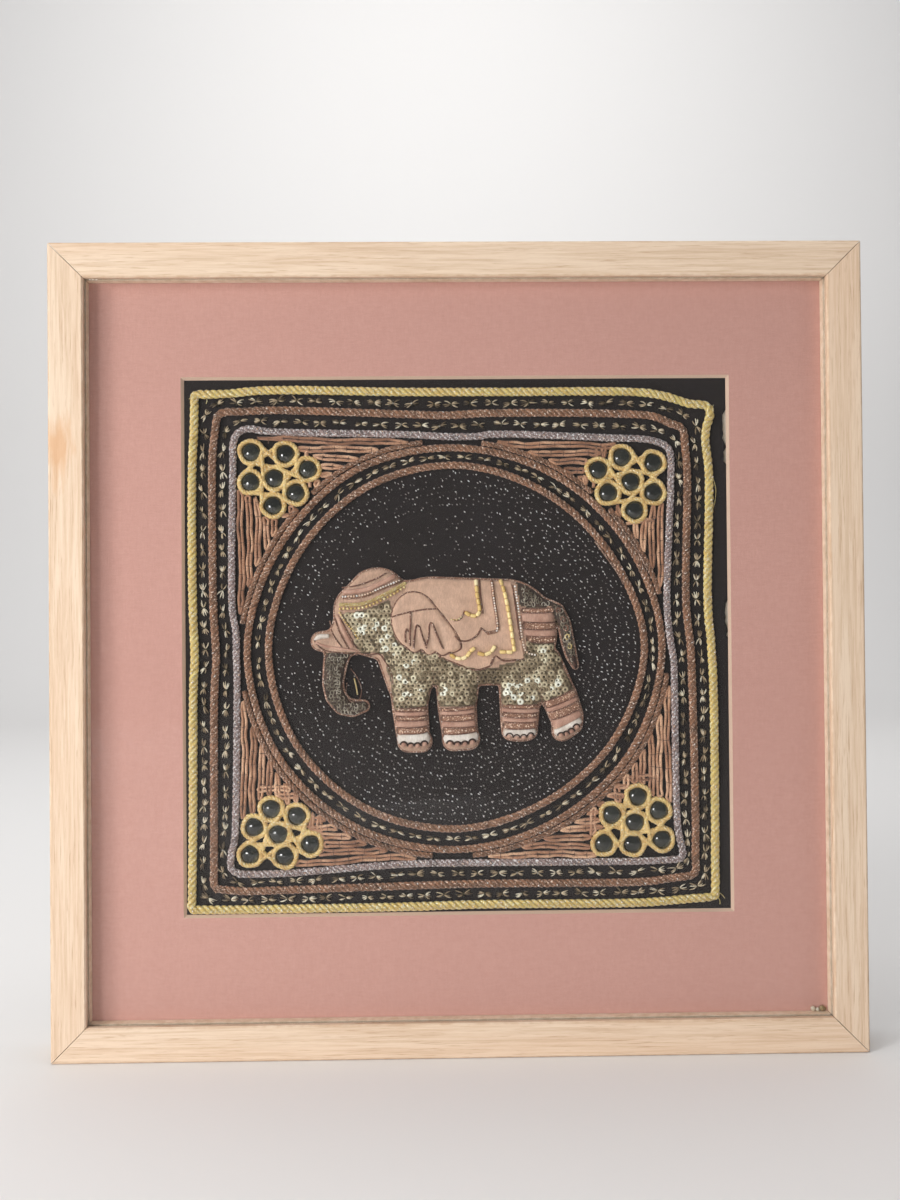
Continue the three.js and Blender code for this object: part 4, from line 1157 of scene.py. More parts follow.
def ear_outline():
    """A round top, a long back edge, and a hem of four lobes, as in the part's source."""
    parts = [
        bezier((1, 224.6), (3, 230), (-8.6, 242), (-14.4, 250)),
        bezier((-14.4, 250), (-18, 255.4), (-24, 257.6), (-29, 255.8)),
        bezier((-29, 255.8), (-35.4, 253), (-38.4, 245.6), (-37.4, 239)),
        bezier((-37.4, 239), (-36.6, 232.4), (-33.2, 228), (-29.4, 225.4)),
    ]
    start = np.array((-29.4, 225.4))
    for x, z, drop in ((-21, 224.2, 3.4), (-13.2, 222.8, 3.2), (-5.6, 222.4, 3), (1, 224.6, 2.6)):
        end, low = np.array((x, z)), np.array(((start[0] + x) / 2, z - drop))
        t = (np.arange(8) / 8)[:, None]
        parts.append((1 - t)**2 * start + 2 * (1 - t) * t * low + t**2 * end)
        start = end
    return np.vstack(parts)


EAR = ear_outline()


def ear_depth(x, z):
    return polygon_depth(EAR, x, z)


def saddle_depth(x, z):
    return np.minimum(np.minimum(polygon_depth(SADDLE_EDGE, x, z), body_depth(x, z) - 0.6), -0.5 - ear_depth(x, z))


def swell(depth, shoulder=6.0):
    """0 at the edge of some padding, rounding up to 1 at a shoulder's depth inside it."""
    share = np.clip(depth / shoulder, 0, 1)
    return np.sqrt(1 - (1 - share)**2)


EDGE_RISE = CLOTH_FRONT + 1.4


def body_rise(x, z):
    """The rise of the padded body: each stretch of a limb swells by itself, so they part in soft creases."""
    padding = bpy.context.scene.tapestry_elephant.rise / MM
    each = [(limb_depth(x, z, (a, b)), max(a[2], b[2])) for a, b in STRETCHES]
    whole = swell(np.max([d for d, r in each], axis=0))
    single = np.max([swell(d, min(6.0, 0.8 * r)) for d, r in each], axis=0)
    return EDGE_RISE + padding * (0.55 * whole + 0.45 * single)


def ear_rise(x, z):
    """The rise of the ear flap, with three folds above its lobes."""
    folds = sum(np.exp(-((np.asarray(x) - a - 0.22 * (236 - np.asarray(z))) / 1.5)**2) for a in (-24.6, -17.4, -10.4))
    return body_rise(x, z) + 0.5 + 1.1 * swell(ear_depth(x, z), 3.0) - 0.4 * folds * (np.asarray(z) < 239)


def saddle_rise(x, z):
    """The rise of the saddle cloth, which is a little uneven."""
    x, z = np.asarray(x), np.asarray(z)
    return body_rise(x, z) + 0.75 + 0.14 * np.sin(x / 4.2 + z / 9) + 0.1 * np.sin(z / 2.7 - x / 11)


def surface(x, z):
    """The rise of the topmost cloth: ear, saddle cloth, body or ground."""
    x, z = np.asarray(x, float), np.asarray(z, float)
    rise = np.where(body_depth(x, z) > 0, body_rise(x, z), CLOTH_FRONT + 0.05)
    rise = np.where(saddle_depth(x, z) > 0, saddle_rise(x, z), rise)
    return np.where(ear_depth(x, z) > 0, ear_rise(x, z), rise)


def laid(line, above):
    """A flat line put so far above whatever cloth lies under it."""
    line = np.asarray(line, float)
    rise = surface(line[:, 0], line[:, 1])
    if len(rise) > 4:
        rise = np.convolve(np.pad(rise, 1, "edge"), (0.25, 0.5, 0.25), "valid")
    return lifted(line, rise + above)


def relief(stock, region, rise_at, depth_at, step, floor_at, tone_at=None):
    """A closed pad over the area where depth_at is above 0: a shaped top, a floor, and a wall at the edge.
    Gives back the edge as loops of flat points."""
    left, bottom, right, top = region
    columns, rows = int((right - left) / step) + 1, int((top - bottom) / step) + 1
    x, z = (g.ravel() for g in np.meshgrid(left + np.arange(columns) * step, bottom + np.arange(rows) * step))
    faces = grid_faces(rows, columns)
    faces = faces[(depth_at(x, z)[faces] > 0).any(axis=1)]
    for _ in range(3):
        outside = np.zeros(len(x), bool)
        outside[faces.ravel()] = True
        outside &= depth_at(x, z) < 0
        here = depth_at(x[outside], z[outside])
        slope_x = (depth_at(x[outside] + 0.05, z[outside]) - here) / 0.05
        slope_z = (depth_at(x[outside], z[outside] + 0.05) - here) / 0.05
        size = np.maximum(slope_x**2 + slope_z**2, 0.2)
        x[outside] -= here * slope_x / size
        z[outside] -= here * slope_z / size
    used = np.unique(faces)
    number = -np.ones(len(x), int)
    number[used] = np.arange(len(used))
    faces, x, z = number[faces], x[used], z[used]
    n = len(used)
    edges = np.concatenate([faces[:, [0, 1]], faces[:, [1, 2]], faces[:, [2, 3]], faces[:, [3, 0]]])
    seen = set(map(tuple, edges))
    rim = np.array([edge for edge in seen if edge[::-1] not in seen])
    walls = np.column_stack([rim[:, 0], rim[:, 0] + n, rim[:, 1] + n, rim[:, 1]])
    points = np.vstack([np.column_stack([x, z, rise_at(x, z)]), np.column_stack([x, z, floor_at(x, z)])])
    tones = 0.5 if tone_at is None else np.tile(tone_at(x, z), 2)
    stock.add(points, np.vstack([faces, faces[:, ::-1] + n, walls]), np.tile(depth_at(x, z), 2), tones)
    follow = dict(map(tuple, rim))
    loops = []
    while follow:
        start, here = next(iter(follow.items()))
        loop = [start]
        del follow[start]
        while here != start and here in follow:
            loop.append(here)
            here = follow.pop(here)
        loops.append(np.column_stack([x[loop], z[loop]]))
    return [loop for loop in loops if len(loop) > 12]


CHEEK = [(-64.6, 243.6), (-55, 245.2), (-46, 247.8), (-39.4, 251.2), (-38.6, 245), (-38.6, 238), (-36.6, 231),
         (-33, 226), (-37, 222.6), (-46, 223.2), (-55.6, 225), (-57.4, 231), (-61, 238)]
FORE = [(-41.4, 222.4), (-33, 225.6), (-28, 223.6), (-20, 221.6), (-12, 220.4), (-5.6, 216.8), (4, 213.6),
        (10.4, 211.6), (10.4, 205), (9.6, 193.4), (-19, 192.6), (-36.2, 192), (-37, 205)]
HIND = [(22.6, 204.2), (23, 214.6), (34.6, 216.4), (37.4, 220.6), (39, 227), (55, 227), (58, 221), (57, 212),
        (63.4, 202.2), (46.6, 194.6), (23.4, 193.8)]
LOOP_PATCH = [(32.4, 263), (46, 259), (53.6, 251.5), (52.6, 247.8), (37.8, 247.4), (34.4, 249)]
BELLY = [(10.2, 211.8), (22.8, 213), (22.8, 202), (10.2, 202)]
# Spots where the ring sequins carry a painted highlight: a sequin on one is toned near white, and those near one a
# little lighter.
PAINTED_GLINT_SPOTS = [
    (-55.1, 244.4), (-57.9, 244.4), (-55.9, 236.2), (-51.4, 237.2), (-53.7, 234.3), (-44.7, 238.3), (-40.9, 236.4),
    (-39.1, 232.3), (-41.7, 229.7), (-36.5, 227.4), (-41, 225.6), (-46.9, 235.3), (-35.1, 221.8), (-30.3, 214.6),
    (-24.6, 217.9), (-32.6, 208.3), (-29.3, 199.3), (-28.5, 206.7), (-21, 201.4), (-7.9, 199.8), (-8.2, 201.3),
    (47.4, 221.4), (51.8, 202.3), (54.4, 204.9), (44.7, 206.8), (27.4, 204.7), (31.1, 203.6), (34.9, 203.9),
    (37.5, 205.4), (27.3, 198.7), (30.3, 197.2), (33.3, 195.7), (34.1, 198.7), (40.1, 197.5), (26.6, 201.7),
]


def sequin_depth(x, z):
    """How far inside the areas that ring sequins cover a point lies."""
    areas = np.max([polygon_depth(area, x, z) for area in (CHEEK, FORE, HIND, BELLY)], axis=0)
    under = np.maximum(np.maximum(ear_depth(x, z), saddle_depth(x, z)), tail_depth(x, z) * (np.asarray(x) > 56) - 0.3)
    return np.minimum(np.minimum(areas, body_depth(x, z) - 1.0), -under)


def loop_depth(x, z):
    """How far inside the areas that small silver loops fill a point lies: trunk, tail and the patch on the rump."""
    x, z = np.asarray(x, float), np.asarray(z, float)
    trunk = np.where((x < -50) & (z < 222.6), body_depth(x, z), -9)
    tail = np.where((x > 52.4) & (z > 209), tail_depth(x, z), -9)
    patch = np.minimum(polygon_depth(LOOP_PATCH, x, z), body_depth(x, z))
    return np.max([trunk, tail, patch], axis=0)


def body_tone(x, z):
    """0 is the dark cloth under loops, 0.5 the olive cloth under sequins, and 1 the bare pink satin."""
    tone = np.where(sequin_depth(x, z) > -1.0, 0.5, 1.0)
    dark = (loop_depth(x, z) > -0.2) | (polygon_depth(BELLY, x, z) > 0)
    return np.where(dark, 0.0, tone)


class TAPESTRY_OT_elephant(bpy.types.Operator):
    """Pad and sew the elephant, its ear and its saddle cloth"""
    bl_idname = "tapestry.elephant"
    bl_label = "Padded elephant"

    def execute(self, context):
        settings = context.scene.tapestry_elephant
        pink = tuple(settings.pink)
        pale = shade(pink, 1.1)
        stock = Stock()
        loops = relief(stock, (-88, 162, 74, 276), body_rise, body_depth, 0.9,
                       lambda x, z: np.full(len(x), CLOTH_FRONT + 0.1), body_tone)
        body = piece("elephant_padding", stock, body_finish(pink), ["elephant_body"])
        satin = satin_finish("pink_satin", shade(pink, 0.82), pale)
        ear = Stock()
        relief(ear, (-42, 214, 10, 262), ear_rise, ear_depth, 0.8, lambda x, z: body_rise(x, z) + 0.2)
        flap = piece("ear_flap", ear, satin, ["elephant_ear"])
        saddle = Stock()
        relief(saddle, (-34, 208, 42, 270), saddle_rise, saddle_depth, 0.8, lambda x, z: body_rise(x, z) + 0.15)
        cloth = piece("saddle_satin", saddle, satin, ["saddle_cloth"])
        self.outline(loops)
        return {"FINISHED"}

    def outline(self, loops):
        """The brown-pink cord that edges the applique, with its sparkles: slivers of metal whose near-white tone is
        partly painted glint.
        """
        rng = np.random.default_rng(61)
        cord, bright = Stock(), Stock()
        for number, loop in enumerate(loops):
            for _ in range(4):
                loop = (np.roll(loop, 1, 0) + 2 * loop + np.roll(loop, -1, 0)) / 4
            loop = set_off(even_line(loop, 1.0, True), 0.15)
            twisted_cord(cord, lifted(loop, EDGE_RISE - 0.2), 1.7, 1.8, 4.4, step=0.6, sides=5,
                         seed=number + 3, core=0.4)
            ahead = headings(loop, True)
            for (x, z), (dx, dz) in zip(loop, ahead):
                if rng.random() < 0.3:
                    off = rng.uniform(-0.5, 0.5)
                    fleck(bright, (x - dz * off, z + dx * off, EDGE_RISE + 0.75), rng.uniform(0.7, 1.2), 0.45,
                          rng.uniform(0, 3), chance=rng.random())
        thread = thread_finish("outline_thread", srgb(104, 72, 58), srgb(178, 134, 110), 0.55, 0.1,
                               srgb(255, 226, 204), 0.08)
        piece("outline_cord", cord, thread)
        # The sparkles' near-white tone is partly painted glint.
        piece("outline_sparkles", bright, sparkle_finish("outline_flecks_painted_glint"))


def satin_finish(name, dark, light):
    """Satin-weave cloth with a soft sheen and small puckers."""
    made = Finish(name, 0.5, 0.0, Sheen_Weight=0.3, Sheen_Roughness=0.4)
    puckers = made.noise(made.spot(), 170, 3.0)
    tone = made.blend(made.ramp(puckers, [(0.3, 0.0), (0.7, 1.0)]), dark, light)
    made.satin_weave(puckers, tone, shade(dark, 0.6), 0.35)
    return made.material


def body_finish(pink):
    """The body's cloth: pink satin where it is bare, olive under the sequins, dark brown under the loops."""
    made = Finish("body_satin", 0.55, 0.0, Sheen_Weight=0.2)
    tone = made.ramp(made.mark("chance"), [(0.15, 58, 48, 42), (0.35, 98, 88, 66), (0.6, 112, 100, 76),
                                           (0.85, pink)])
    puckers = made.noise(made.spot(), 170, 3.0)
    tone = made.blend(made.ramp(puckers, [(0.3, 0.45), (0.7, 0.0)]), tone, srgb(120, 92, 76))
    made.satin_weave(puckers, tone, srgb(70, 54, 44), 0.3)
    return made.material


# ---------------------------------------------------------------- sequins, loops, beads and bands on the elephant

class TAPESTRY_OT_sequins(bpy.types.Operator):
    """Sew on the ring sequins and the small silver loops"""
    bl_idname = "tapestry.sequins"
    bl_label = "Sequins and loops"

    def execute(self, context):
        radius = context.scene.tapestry_elephant.sequin_radius / MM
        rng = np.random.default_rng(71)
        rings, seeds = Stock(), Stock()
        bright = np.array(PAINTED_GLINT_SPOTS)
        pitch, slack = radius * 1.42, 0.35
        left, bottom, right, top = -66, 190, 70, 252
        spots = []
        for row, z in enumerate(np.arange(bottom, top, pitch * 0.86)):
            for x in np.arange(left, right, pitch):
                spots.append((x + (row % 2) * pitch / 2 + rng.uniform(-slack, slack),
                              z + rng.uniform(-slack, slack)))
        spots = np.array(spots)
        spots = spots[sequin_depth(spots[:, 0], spots[:, 1]) > 0.1]
        rises = body_rise(spots[:, 0], spots[:, 1])
        slopes_x = body_rise(spots[:, 0] + 0.5, spots[:, 1]) - body_rise(spots[:, 0] - 0.5, spots[:, 1])
        slopes_z = body_rise(spots[:, 0], spots[:, 1] + 0.5) - body_rise(spots[:, 0], spots[:, 1] - 0.5)
        for (x, z), rise, slope_x, slope_z in zip(spots, rises, slopes_x, slopes_z):
            # Painted highlight: sequins on or near the listed spots are toned lighter, up to near white.
            near = np.hypot(bright[:, 0] - x, bright[:, 1] - z).min()
            chance = rng.uniform(0.9, 1.0) if near < 1.5 else rng.uniform(0.0, 0.62) + 0.2 * (near < 4.5)
            if 10 < x < 23 and z < 215:
                chance *= 0.3
            size = radius * rng.uniform(0.92, 1.06)
            profile = [(size, 0), (size, 0.13), (size * 0.62, 0.3), (size * 0.3, 0.2), (size * 0.3, 0.06),
                       (size * 0.62, 0.14)]
            tilt = (slope_x + rng.uniform(-0.14, 0.14), slope_z + rng.uniform(-0.14, 0.14))
            turned_profile(rings, (x, z, rise + 0.32 + rng.uniform(0, 0.25)), profile, 12, tilt, chance)
            if rng.random() < 0.5:
                ball(seeds, (x, z, rise + 0.55), size * 0.26, 3, 5, 0.8, rng.random())
        # The lightest tones of this ramp are the sequins' painted highlights.
        metal = bead_finish("ring_sequins", 0.36, 0.35, [
            (0.0, 112, 97, 76), (0.3, 156, 138, 110), (0.6, 206, 190, 158),
            (0.8, 236, 226, 194), (0.92, 255, 254, 236)], 700, 0.08, Coat_Weight=0.2)
        piece("ring_sequins", rings, metal)
        seed_glass = bead_finish("seed_beads", 0.25, 0.2, [(0.0, 60, 52, 40), (0.7, 120, 108, 82),
                                                           (1.0, 206, 196, 166)])
        piece("sequin_seeds", seeds, seed_glass)
        self.loops(rng)
        return {"FINISHED"}

    def loops(self, rng):
        """Small open rings of wire, laid over each other."""
        stock = Stock()
        slack, from_edge, radius = 0.45, 1.2, 1.15
        left, bottom, right, top = -77, 188, 69, 262
        for x in np.arange(left, right, 1.95):
            for z in np.arange(bottom, top, 1.85):
                a, b = x + rng.uniform(-slack, slack), z + rng.uniform(-slack, slack)
                if loop_depth(a, b) < from_edge:
                    continue
                turn = rng.uniform(0, TWO_PI) + np.linspace(0, 4.6, 9)
                lean = rng.uniform(-0.3, 0.3)
                stretch = rng.uniform(0.6, 0.9)
                local = np.column_stack([np.cos(turn) * radius * stretch, np.sin(turn) * radius])
                line = np.column_stack([a + local[:, 0], b + local[:, 1]])
                rise = float(body_rise(a, b)) + 0.35 + lean * local[:, 0]
                tube(stock, lifted(line, rise), 0.31, 5, chance=rng.random())
        wire = Finish("silver_wire", 0.3, 0.6)
        tone = wire.ramp(wire.mark("chance"), [(0.0, 118, 106, 90), (0.6, 182, 172, 152), (1.0, 236, 228, 210)])
        wire.grooves(tone, srgb(80, 66, 54), 1400, 1.0, [(0.35, 0.5), (0.6, 0.0)], 0.4)
        piece("silver_loops", stock, wire.material)


# Lines sewn on the elephant: (kind, width, points).
SEWN_LINES = [
    ("satin", 3.0, [(-64.4, 256.4), (-52.7, 257.7), (-43.7, 261.2), (-35.6, 265.2)]),
    ("thread", 1.0, [(-65.4, 259.2), (-56, 260.4), (-46, 264), (-40.4, 267.2)]),
    ("brown", 2.6, [(-65, 253.6), (-52.8, 254.6), (-42.3, 258.8), (-31.4, 263.2)]),
    ("silver", 0.62, [(-64.6, 254), (-52.8, 255), (-42.3, 259.2), (-31.8, 263.4)]),
    ("gold", 2.4, [(-66.4, 249.6), (-55, 249.8), (-46.8, 252.4), (-37.8, 256.9), (-29.6, 261.4)]),
    ("goldbead", 0.85, [(-66.2, 247.4), (-55, 247.7), (-46.8, 250.2), (-37.8, 254.6), (-30.4, 259)]),
    ("goldbead", 0.62, [(-66.4, 245.2), (-63.3, 240), (-58.9, 235.1), (-56.4, 230.9)]),
    ("thread", 1.0, [(-70, 245.6), (-67.1, 235.5), (-61.6, 224.8)]),
    ("satin", 2.6, [(-68, 243.6), (-63.6, 233.6), (-59.6, 225.8)]),
    ("thread", 1.0, [(-66.3, 242.2), (-60.4, 231), (-57.1, 225.2)]),
    ("thread", 0.9, [(-72.4, 240.6), (-70.4, 233.3), (-65.4, 226)]),
    ("lip", 1.5, [(-80, 228.6), (-73.9, 226.4), (-64.2, 224.9), (-57, 223.6)]),
    ("thread", 0.9, [(-81, 230), (-77.8, 226), (-73.5, 223.8), (-64.2, 222.6), (-57, 221.4)]),
    ("tusk", 2.9, [(-80.6, 230.2), (-77.6, 231.9), (-72.6, 232.2)]),
    ("gold", 0.9, [(-58.9, 208.2), (-57.9, 204), (-57.1, 199.2)]),
    ("thread", 0.6, [(-60.8, 213.6), (-57.4, 208.8), (-55, 202.8), (-56, 196.8), (-60.2, 195.4), (-63.4, 199.4),
                     (-63, 206)]),
    ("thread", 1.1, [(-57.5, 222.3), (-50, 221.5), (-44.8, 221.9), (-41.1, 217.3), (-37.8, 211.3), (-36.9, 205.3)]),
    ("thread", 1.0, [(-37.4, 242.6), (-28.9, 244.9), (-19.9, 246.5), (-12.8, 246.9)]),
    ("thread", 1.15, [(-27, 244.9), (-27, 238.2), (-27.4, 232.2), (-27.5, 226.4)]),
    ("thread", 1.15, [(-25.4, 225.2), (-24.9, 231), (-23.8, 237.4), (-22.2, 237.2), (-20.4, 231.8), (-18.2, 225)]),
    ("thread", 1.15, [(-18.4, 226.2), (-16.9, 232), (-16.4, 238.4), (-14.8, 238.4), (-12.2, 232), (-9, 224.6)]),
    ("thread", 1.15, [(-29.8, 228.4), (-30, 232.6), (-29.2, 236), (-28.2, 234)]),
    ("bugle", 2.3, [(9.7, 263), (10.2, 254.3), (11.6, 246.4), (10.6, 243), (6.6, 242.9), (3.4, 244.9)]),
    ("thread", 0.9, [(11.6, 263), (12.2, 254.3), (13.4, 244)]),
    ("thread", 1.0, [(3.2, 245.6), (0.7, 241), (-3.1, 240.2)]),
    ("goldbead", 0.55, [(1.2, 242.2), (-1.2, 240.6), (-4.2, 240.9)]),
    ("brown", 2.2, [(18.5, 262.6), (19.5, 252), (21.4, 238.4), (21, 234.4), (15.8, 233)]),
    ("silver", 0.58, [(18.5, 261), (19.5, 252), (21.4, 238.4), (21, 234.4)]),
    ("thread", 1.2, [(15.8, 233), (12.3, 236)]),
    ("thread", 1.2, [(12.3, 236), (10, 232), (5.6, 229.2), (0.6, 228.9), (-2.4, 231.6)]),
    ("bugle", 2.3, [(23.4, 263), (26.3, 252), (29.1, 234.7), (30.7, 222.8)]),
    ("bugle", 2.3, [(29.6, 222.4), (22.6, 222.6)]),
    ("bugle", 2.3, [(19.9, 226), (17.6, 222.4), (14, 221), (10.3, 222)]),
    ("bugle", 2.3, [(8.6, 225), (6.6, 223.6), (3.5, 219.6), (-1, 219), (-5, 221.3)]),
    ("thread", 1.1, [(36.2, 218.6), (25.2, 217.5), (19.9, 220.2), (17, 214.8), (8, 212.6), (-2, 216.4),
                     (-12, 220.6)]),
    ("thread", 0.9, [(17, 214.8), (18.6, 218.6), (20, 220.2)]),
    ("silver", 0.62, [(31.4, 259), (33.4, 245.2), (35.4, 228.6), (37.6, 222.4), (42.2, 220.8)]),
    ("thread", 1.0, [(29.9, 260), (31.9, 245), (34, 229)]),
    ("thread", 1.1, [(10.4, 204.6), (16, 205), (22.6, 204.2)]),
    ("thread", 0.9, [(10.4, 211.4), (10.2, 205)]),
    ("thread", 0.9, [(46.4, 194), (45.8, 199), (44.8, 205)]),
    ("thread", 0.9, [(-15.6, 203), (-14.4, 208), (-14.8, 213)]),
]
# Bands across the rump and the legs: the two ends of each boundary from the top down, and the kind between them.
RUMP_BANDS = ([((35.3, 247), (52.2, 247.3)), ((35.2, 244.4), (53.1, 244.6)), ((35.9, 239.3), (54.4, 239)),
               ((36.3, 235.2), (54.6, 234.9)), ((37.4, 231.5), (54.7, 231.1)), ((38.8, 227.7), (54.5, 227.7))],
              ("brown", "pink", "brown", "pink", "brown"))
LEG_KINDS = ("brown", "pink", "brown", "pink", "brown", "white", "toes")
LEG_BANDS = [
    ([((-36, 191.9), (-18.1, 192.4)), ((-35.8, 189.7), (-18.1, 190.2)), ((-35.6, 187.4), (-18.1, 187.6)),
      ((-35.3, 184.8), (-18.2, 185)), ((-35, 181), (-18.4, 181.6)), ((-34.6, 177.3), (-17.8, 177.9)),
      ((-33.8, 172), (-17.5, 172.3)), ((-32.5, 168.4), (-18.3, 169))],
     LEG_KINDS),
    ([((-10.6, 191.6), (7.8, 192.9)), ((-10.4, 189.8), (8, 190.8)), ((-10.2, 187.6), (8.1, 188.5)),
      ((-9.6, 184.1), (8.1, 184.7)), ((-9.2, 180.8), (8.8, 181.3)), ((-8.8, 176.6), (9.2, 178)),
      ((-8, 172.2), (9.9, 173.4)), ((-7, 168.8), (8, 169.6))],
     LEG_KINDS),
    ([((24, 193.5), (44, 193)), ((24, 191.4), (43.9, 190.8)), ((24.1, 189), (43.8, 188.4)),
      ((24.4, 186.2), (43.3, 185.8)), ((24.6, 183.6), (42.6, 183.4)), ((24.9, 179.6), (42, 179.7)),
      ((25.2, 175.6), (42, 175.8)), ((26.4, 173.2), (41, 173.4))],
     LEG_KINDS),
    ([((47.4, 194.8), (63.2, 201)), ((48.8, 190.8), (65, 197.4)), ((49.8, 188.4), (66, 194.8)),
      ((51.4, 184), (67, 190)), ((53, 178.8), (67.4, 186)), ((54.2, 175.2), (67.2, 182.2)),
      ((56, 172.4), (66, 177.6))],
     ("brown", "pink", "brown", "pink", "white", "toes")),
]


class TAPESTRY_OT_beadwork(bpy.types.Operator):
    """Sew the lines, beads and satin bands on the elephant"""
    bl_idname = "tapestry.beadwork"
    bl_label = "Beads and bands"

    def execute(self, context):
        rng = np.random.default_rng(83)
        stocks = {kind: Stock() for kind in ("thread", "gold", "bead", "silver", "pink", "brown", "white", "dark")}
        outline = [("thread", 1.1, np.vstack([EAR, EAR[:1]])[::2])]
        for kind, width, points in SEWN_LINES + outline:
            self.line(stocks, rng, kind, width, points)
        for boundaries, kinds in LEG_BANDS + [RUMP_BANDS]:
            for top, bottom, kind in zip(boundaries, boundaries[1:], kinds):
                self.band(stocks, rng, kind, top, bottom)
        self.tail(stocks, rng)
        thin = thread_finish("sewing_thread", srgb(104, 70, 58), srgb(158, 112, 92), 0.55, 0.15,
                             srgb(255, 224, 200), 0.06)
        gold = thread_finish("band_gold", srgb(188, 150, 84), srgb(248, 220, 150), 0.42, 0.15,
                             srgb(255, 248, 216), 0.1)
        brown = thread_finish("band_brown", srgb(122, 86, 68), srgb(168, 124, 100), 0.6, 0.1,
                              srgb(255, 222, 196), 0.08)
        pink = satin_finish("band_satin", srgb(176, 132, 112), srgb(214, 174, 152))
        white = satin_finish("white_satin", srgb(206, 190, 174), srgb(246, 238, 228))
        glass = bead_finish("bugle_glass", 0.2, 0.1, [(0.0, 204, 168, 100), (0.5, 234, 206, 140),
                                                      (1.0, 255, 240, 192)], 500, Coat_Weight=0.5)
        dark = Finish("dark_thread", 0.6)
        dark.colour(dark.ramp(dark.noise(dark.spot(), 900, 2.0), [(0.35, 36, 26, 24), (0.7, 88, 62, 52)]))
        dark.bump(dark.noise(dark.spot(), 1400, 1.0), 0.3)
        plan = (("sewn_lines", "thread", thin, "brown_cord"), ("gold_band", "gold", gold, "gold_cord"),
                ("gold_bugles", "bead", glass, "gold_cord"),
                ("silver_beads", "silver", sparkle_finish("silver_beads"), "lilac_cord"),
                ("satin_bands", "pink", pink, "saddle_cloth"), ("brown_bands", "brown", brown, "brown_cord"),
                ("hoof_satin", "white", white, "saddle_cloth"),
                ("dark_stitches", "dark", dark.material, "brown_cord"))
        for name, kind, finish, slot in plan:
            piece(name, stocks[kind], finish)
        return {"FINISHED"}

    def cord(self, stock, rng, line, width, height, pitch, sides):
        twisted_cord(stock, line, width, height, pitch, step=0.5, sides=sides, closed=False,
                     seed=int(rng.integers(999)))

    def line(self, stocks, rng, kind, width, points):
        """A cord (thread, brown, gold), a padded strip (satin, lip, tusk), bugles, or beads (goldbead, silver)."""
        line = even_line(open_curve(points, 8), 0.6)
        if kind == "thread":
            self.cord(stocks["thread"], rng, laid(line, width * 0.42), width, width * 0.9, 1.9, 4)
            for x, z in line[rng.random(len(line)) < 0.1]:
                fleck(stocks["silver"], laid([(x, z)], width)[0], 0.8, 0.4, rng.uniform(0, 3),
                      chance=rng.random() * 0.6)
        elif kind in ("brown", "gold"):
            self.cord(stocks[kind], rng, laid(line, 0.6 if kind == "brown" else 0.75), width, 1.3, 2.4, 6)
        elif kind in ("satin", "lip"):
            tube(stocks["pink"], laid(line, 0.25), width / 2, 8, flatness=0.55, chance=rng.random())
        elif kind == "tusk":
            shape = np.interp(np.linspace(0, 1, len(line)), (0, 0.3, 1), (0.35, 1, 0.8))
            tube(stocks["white"], laid(line, 0.6), width / 2 * shape, 8, flatness=0.8, chance=0.9)
        elif kind == "bugle":
            self.bugles(stocks["bead"], rng, line, 3.5, width / 2)
        else:
            place_in = "bead" if kind == "goldbead" else "silver"
            for x, z in even_line(line, width * 2.5):
                spot = laid([(x, z)], width * 1.15 + (0.55 if kind == "silver" else 0.2))[0]
                ball(stocks[place_in], spot, width * rng.uniform(0.9, 1.1), 4, 6, 0.9, rng.random())

    def bugles(self, stock, rng, line, length, radius):
        """Long beads end to end, of about a length, that fill a line."""
        gap = 0.3
        line = even_line(line, 0.1)
        gone = along_line(line)
        count = max(1, int(round((gone[-1] + gap) / (length + gap))))
        length = (gone[-1] + gap) / count - gap
        for k in range(count):
            ends = np.array([k * (length + gap), k * (length + gap) + length])
            a, b = (np.array([np.interp(g, gone, line[:, 0]), np.interp(g, gone, line[:, 1])]) for g in ends)
            share = np.array([0, 0.06, 0.14, 0.5, 0.86, 0.94, 1])
            bead = a + share[:, None] * (b - a)
            rise = surface(bead[:, 0], bead[:, 1]).mean() + radius + 0.05
            tube(stock, lifted(bead, rise), radius * np.array([0.62, 0.92, 1, 1, 1, 0.92, 0.62]), 8,
                 chance=rng.random())

    def band(self, stocks, rng, kind, top, bottom):
        """A padded strip across a leg or the rump, or a row of toes."""
        share = np.linspace(0, 1, 15)[:, None]
        upper = np.array(top[0]) + share * (np.array(top[1]) - top[0])
        lower = np.array(bottom[0]) + share * (np.array(bottom[1]) - bottom[0])
        sag = 0.5 * (1 - (2 * share - 1)**2) * np.array([0.0, -1.0])
        middle = (upper + lower) / 2 + sag
        half = np.linalg.norm(upper - lower, axis=1) / 2
        if kind == "toes":
            for k in range(4):
                x, z = middle[0] + (k + 0.5) / 4 * (middle[-1] - middle[0]) + (0, 1.1 if k in (0, 3) else 0.3)
                ball(stocks["pink"], laid([(x, z)], 0.3)[0], 1.55, 5, 9, 0.6, rng.random())
                turn = np.linspace(0.1, math.pi - 0.1, 8)
                arc = np.column_stack([x + 1.9 * np.cos(turn), z - 0.3 + 1.9 * np.sin(turn)])
                tube(stocks["dark"], laid(arc, 0.7), 0.5, 5, chance=0.3)
            return
        tube(stocks[kind], laid(middle, 0.1), half * 1.04, 8, flatness=0.62 / max(half.mean(), 0.6),
             chance=rng.random())
        if kind == "brown":
            for x, z in middle[1:-1]:
                if rng.random() < 0.5:
                    spot = laid([(x + rng.uniform(-0.5, 0.5), z + rng.uniform(-0.5, 0.5))], 0.85)[0]
                    ball(stocks["silver"], spot, 0.5, 3, 6, 0.8, 0.4 * rng.random())
            for edge, step in ((upper, -0.2), (lower, 0.2)):
                self.cord(stocks["thread"], rng, laid(even_line(edge + sag + (0, step), 0.7), 0.55), 0.9, 0.8, 1.9, 4)

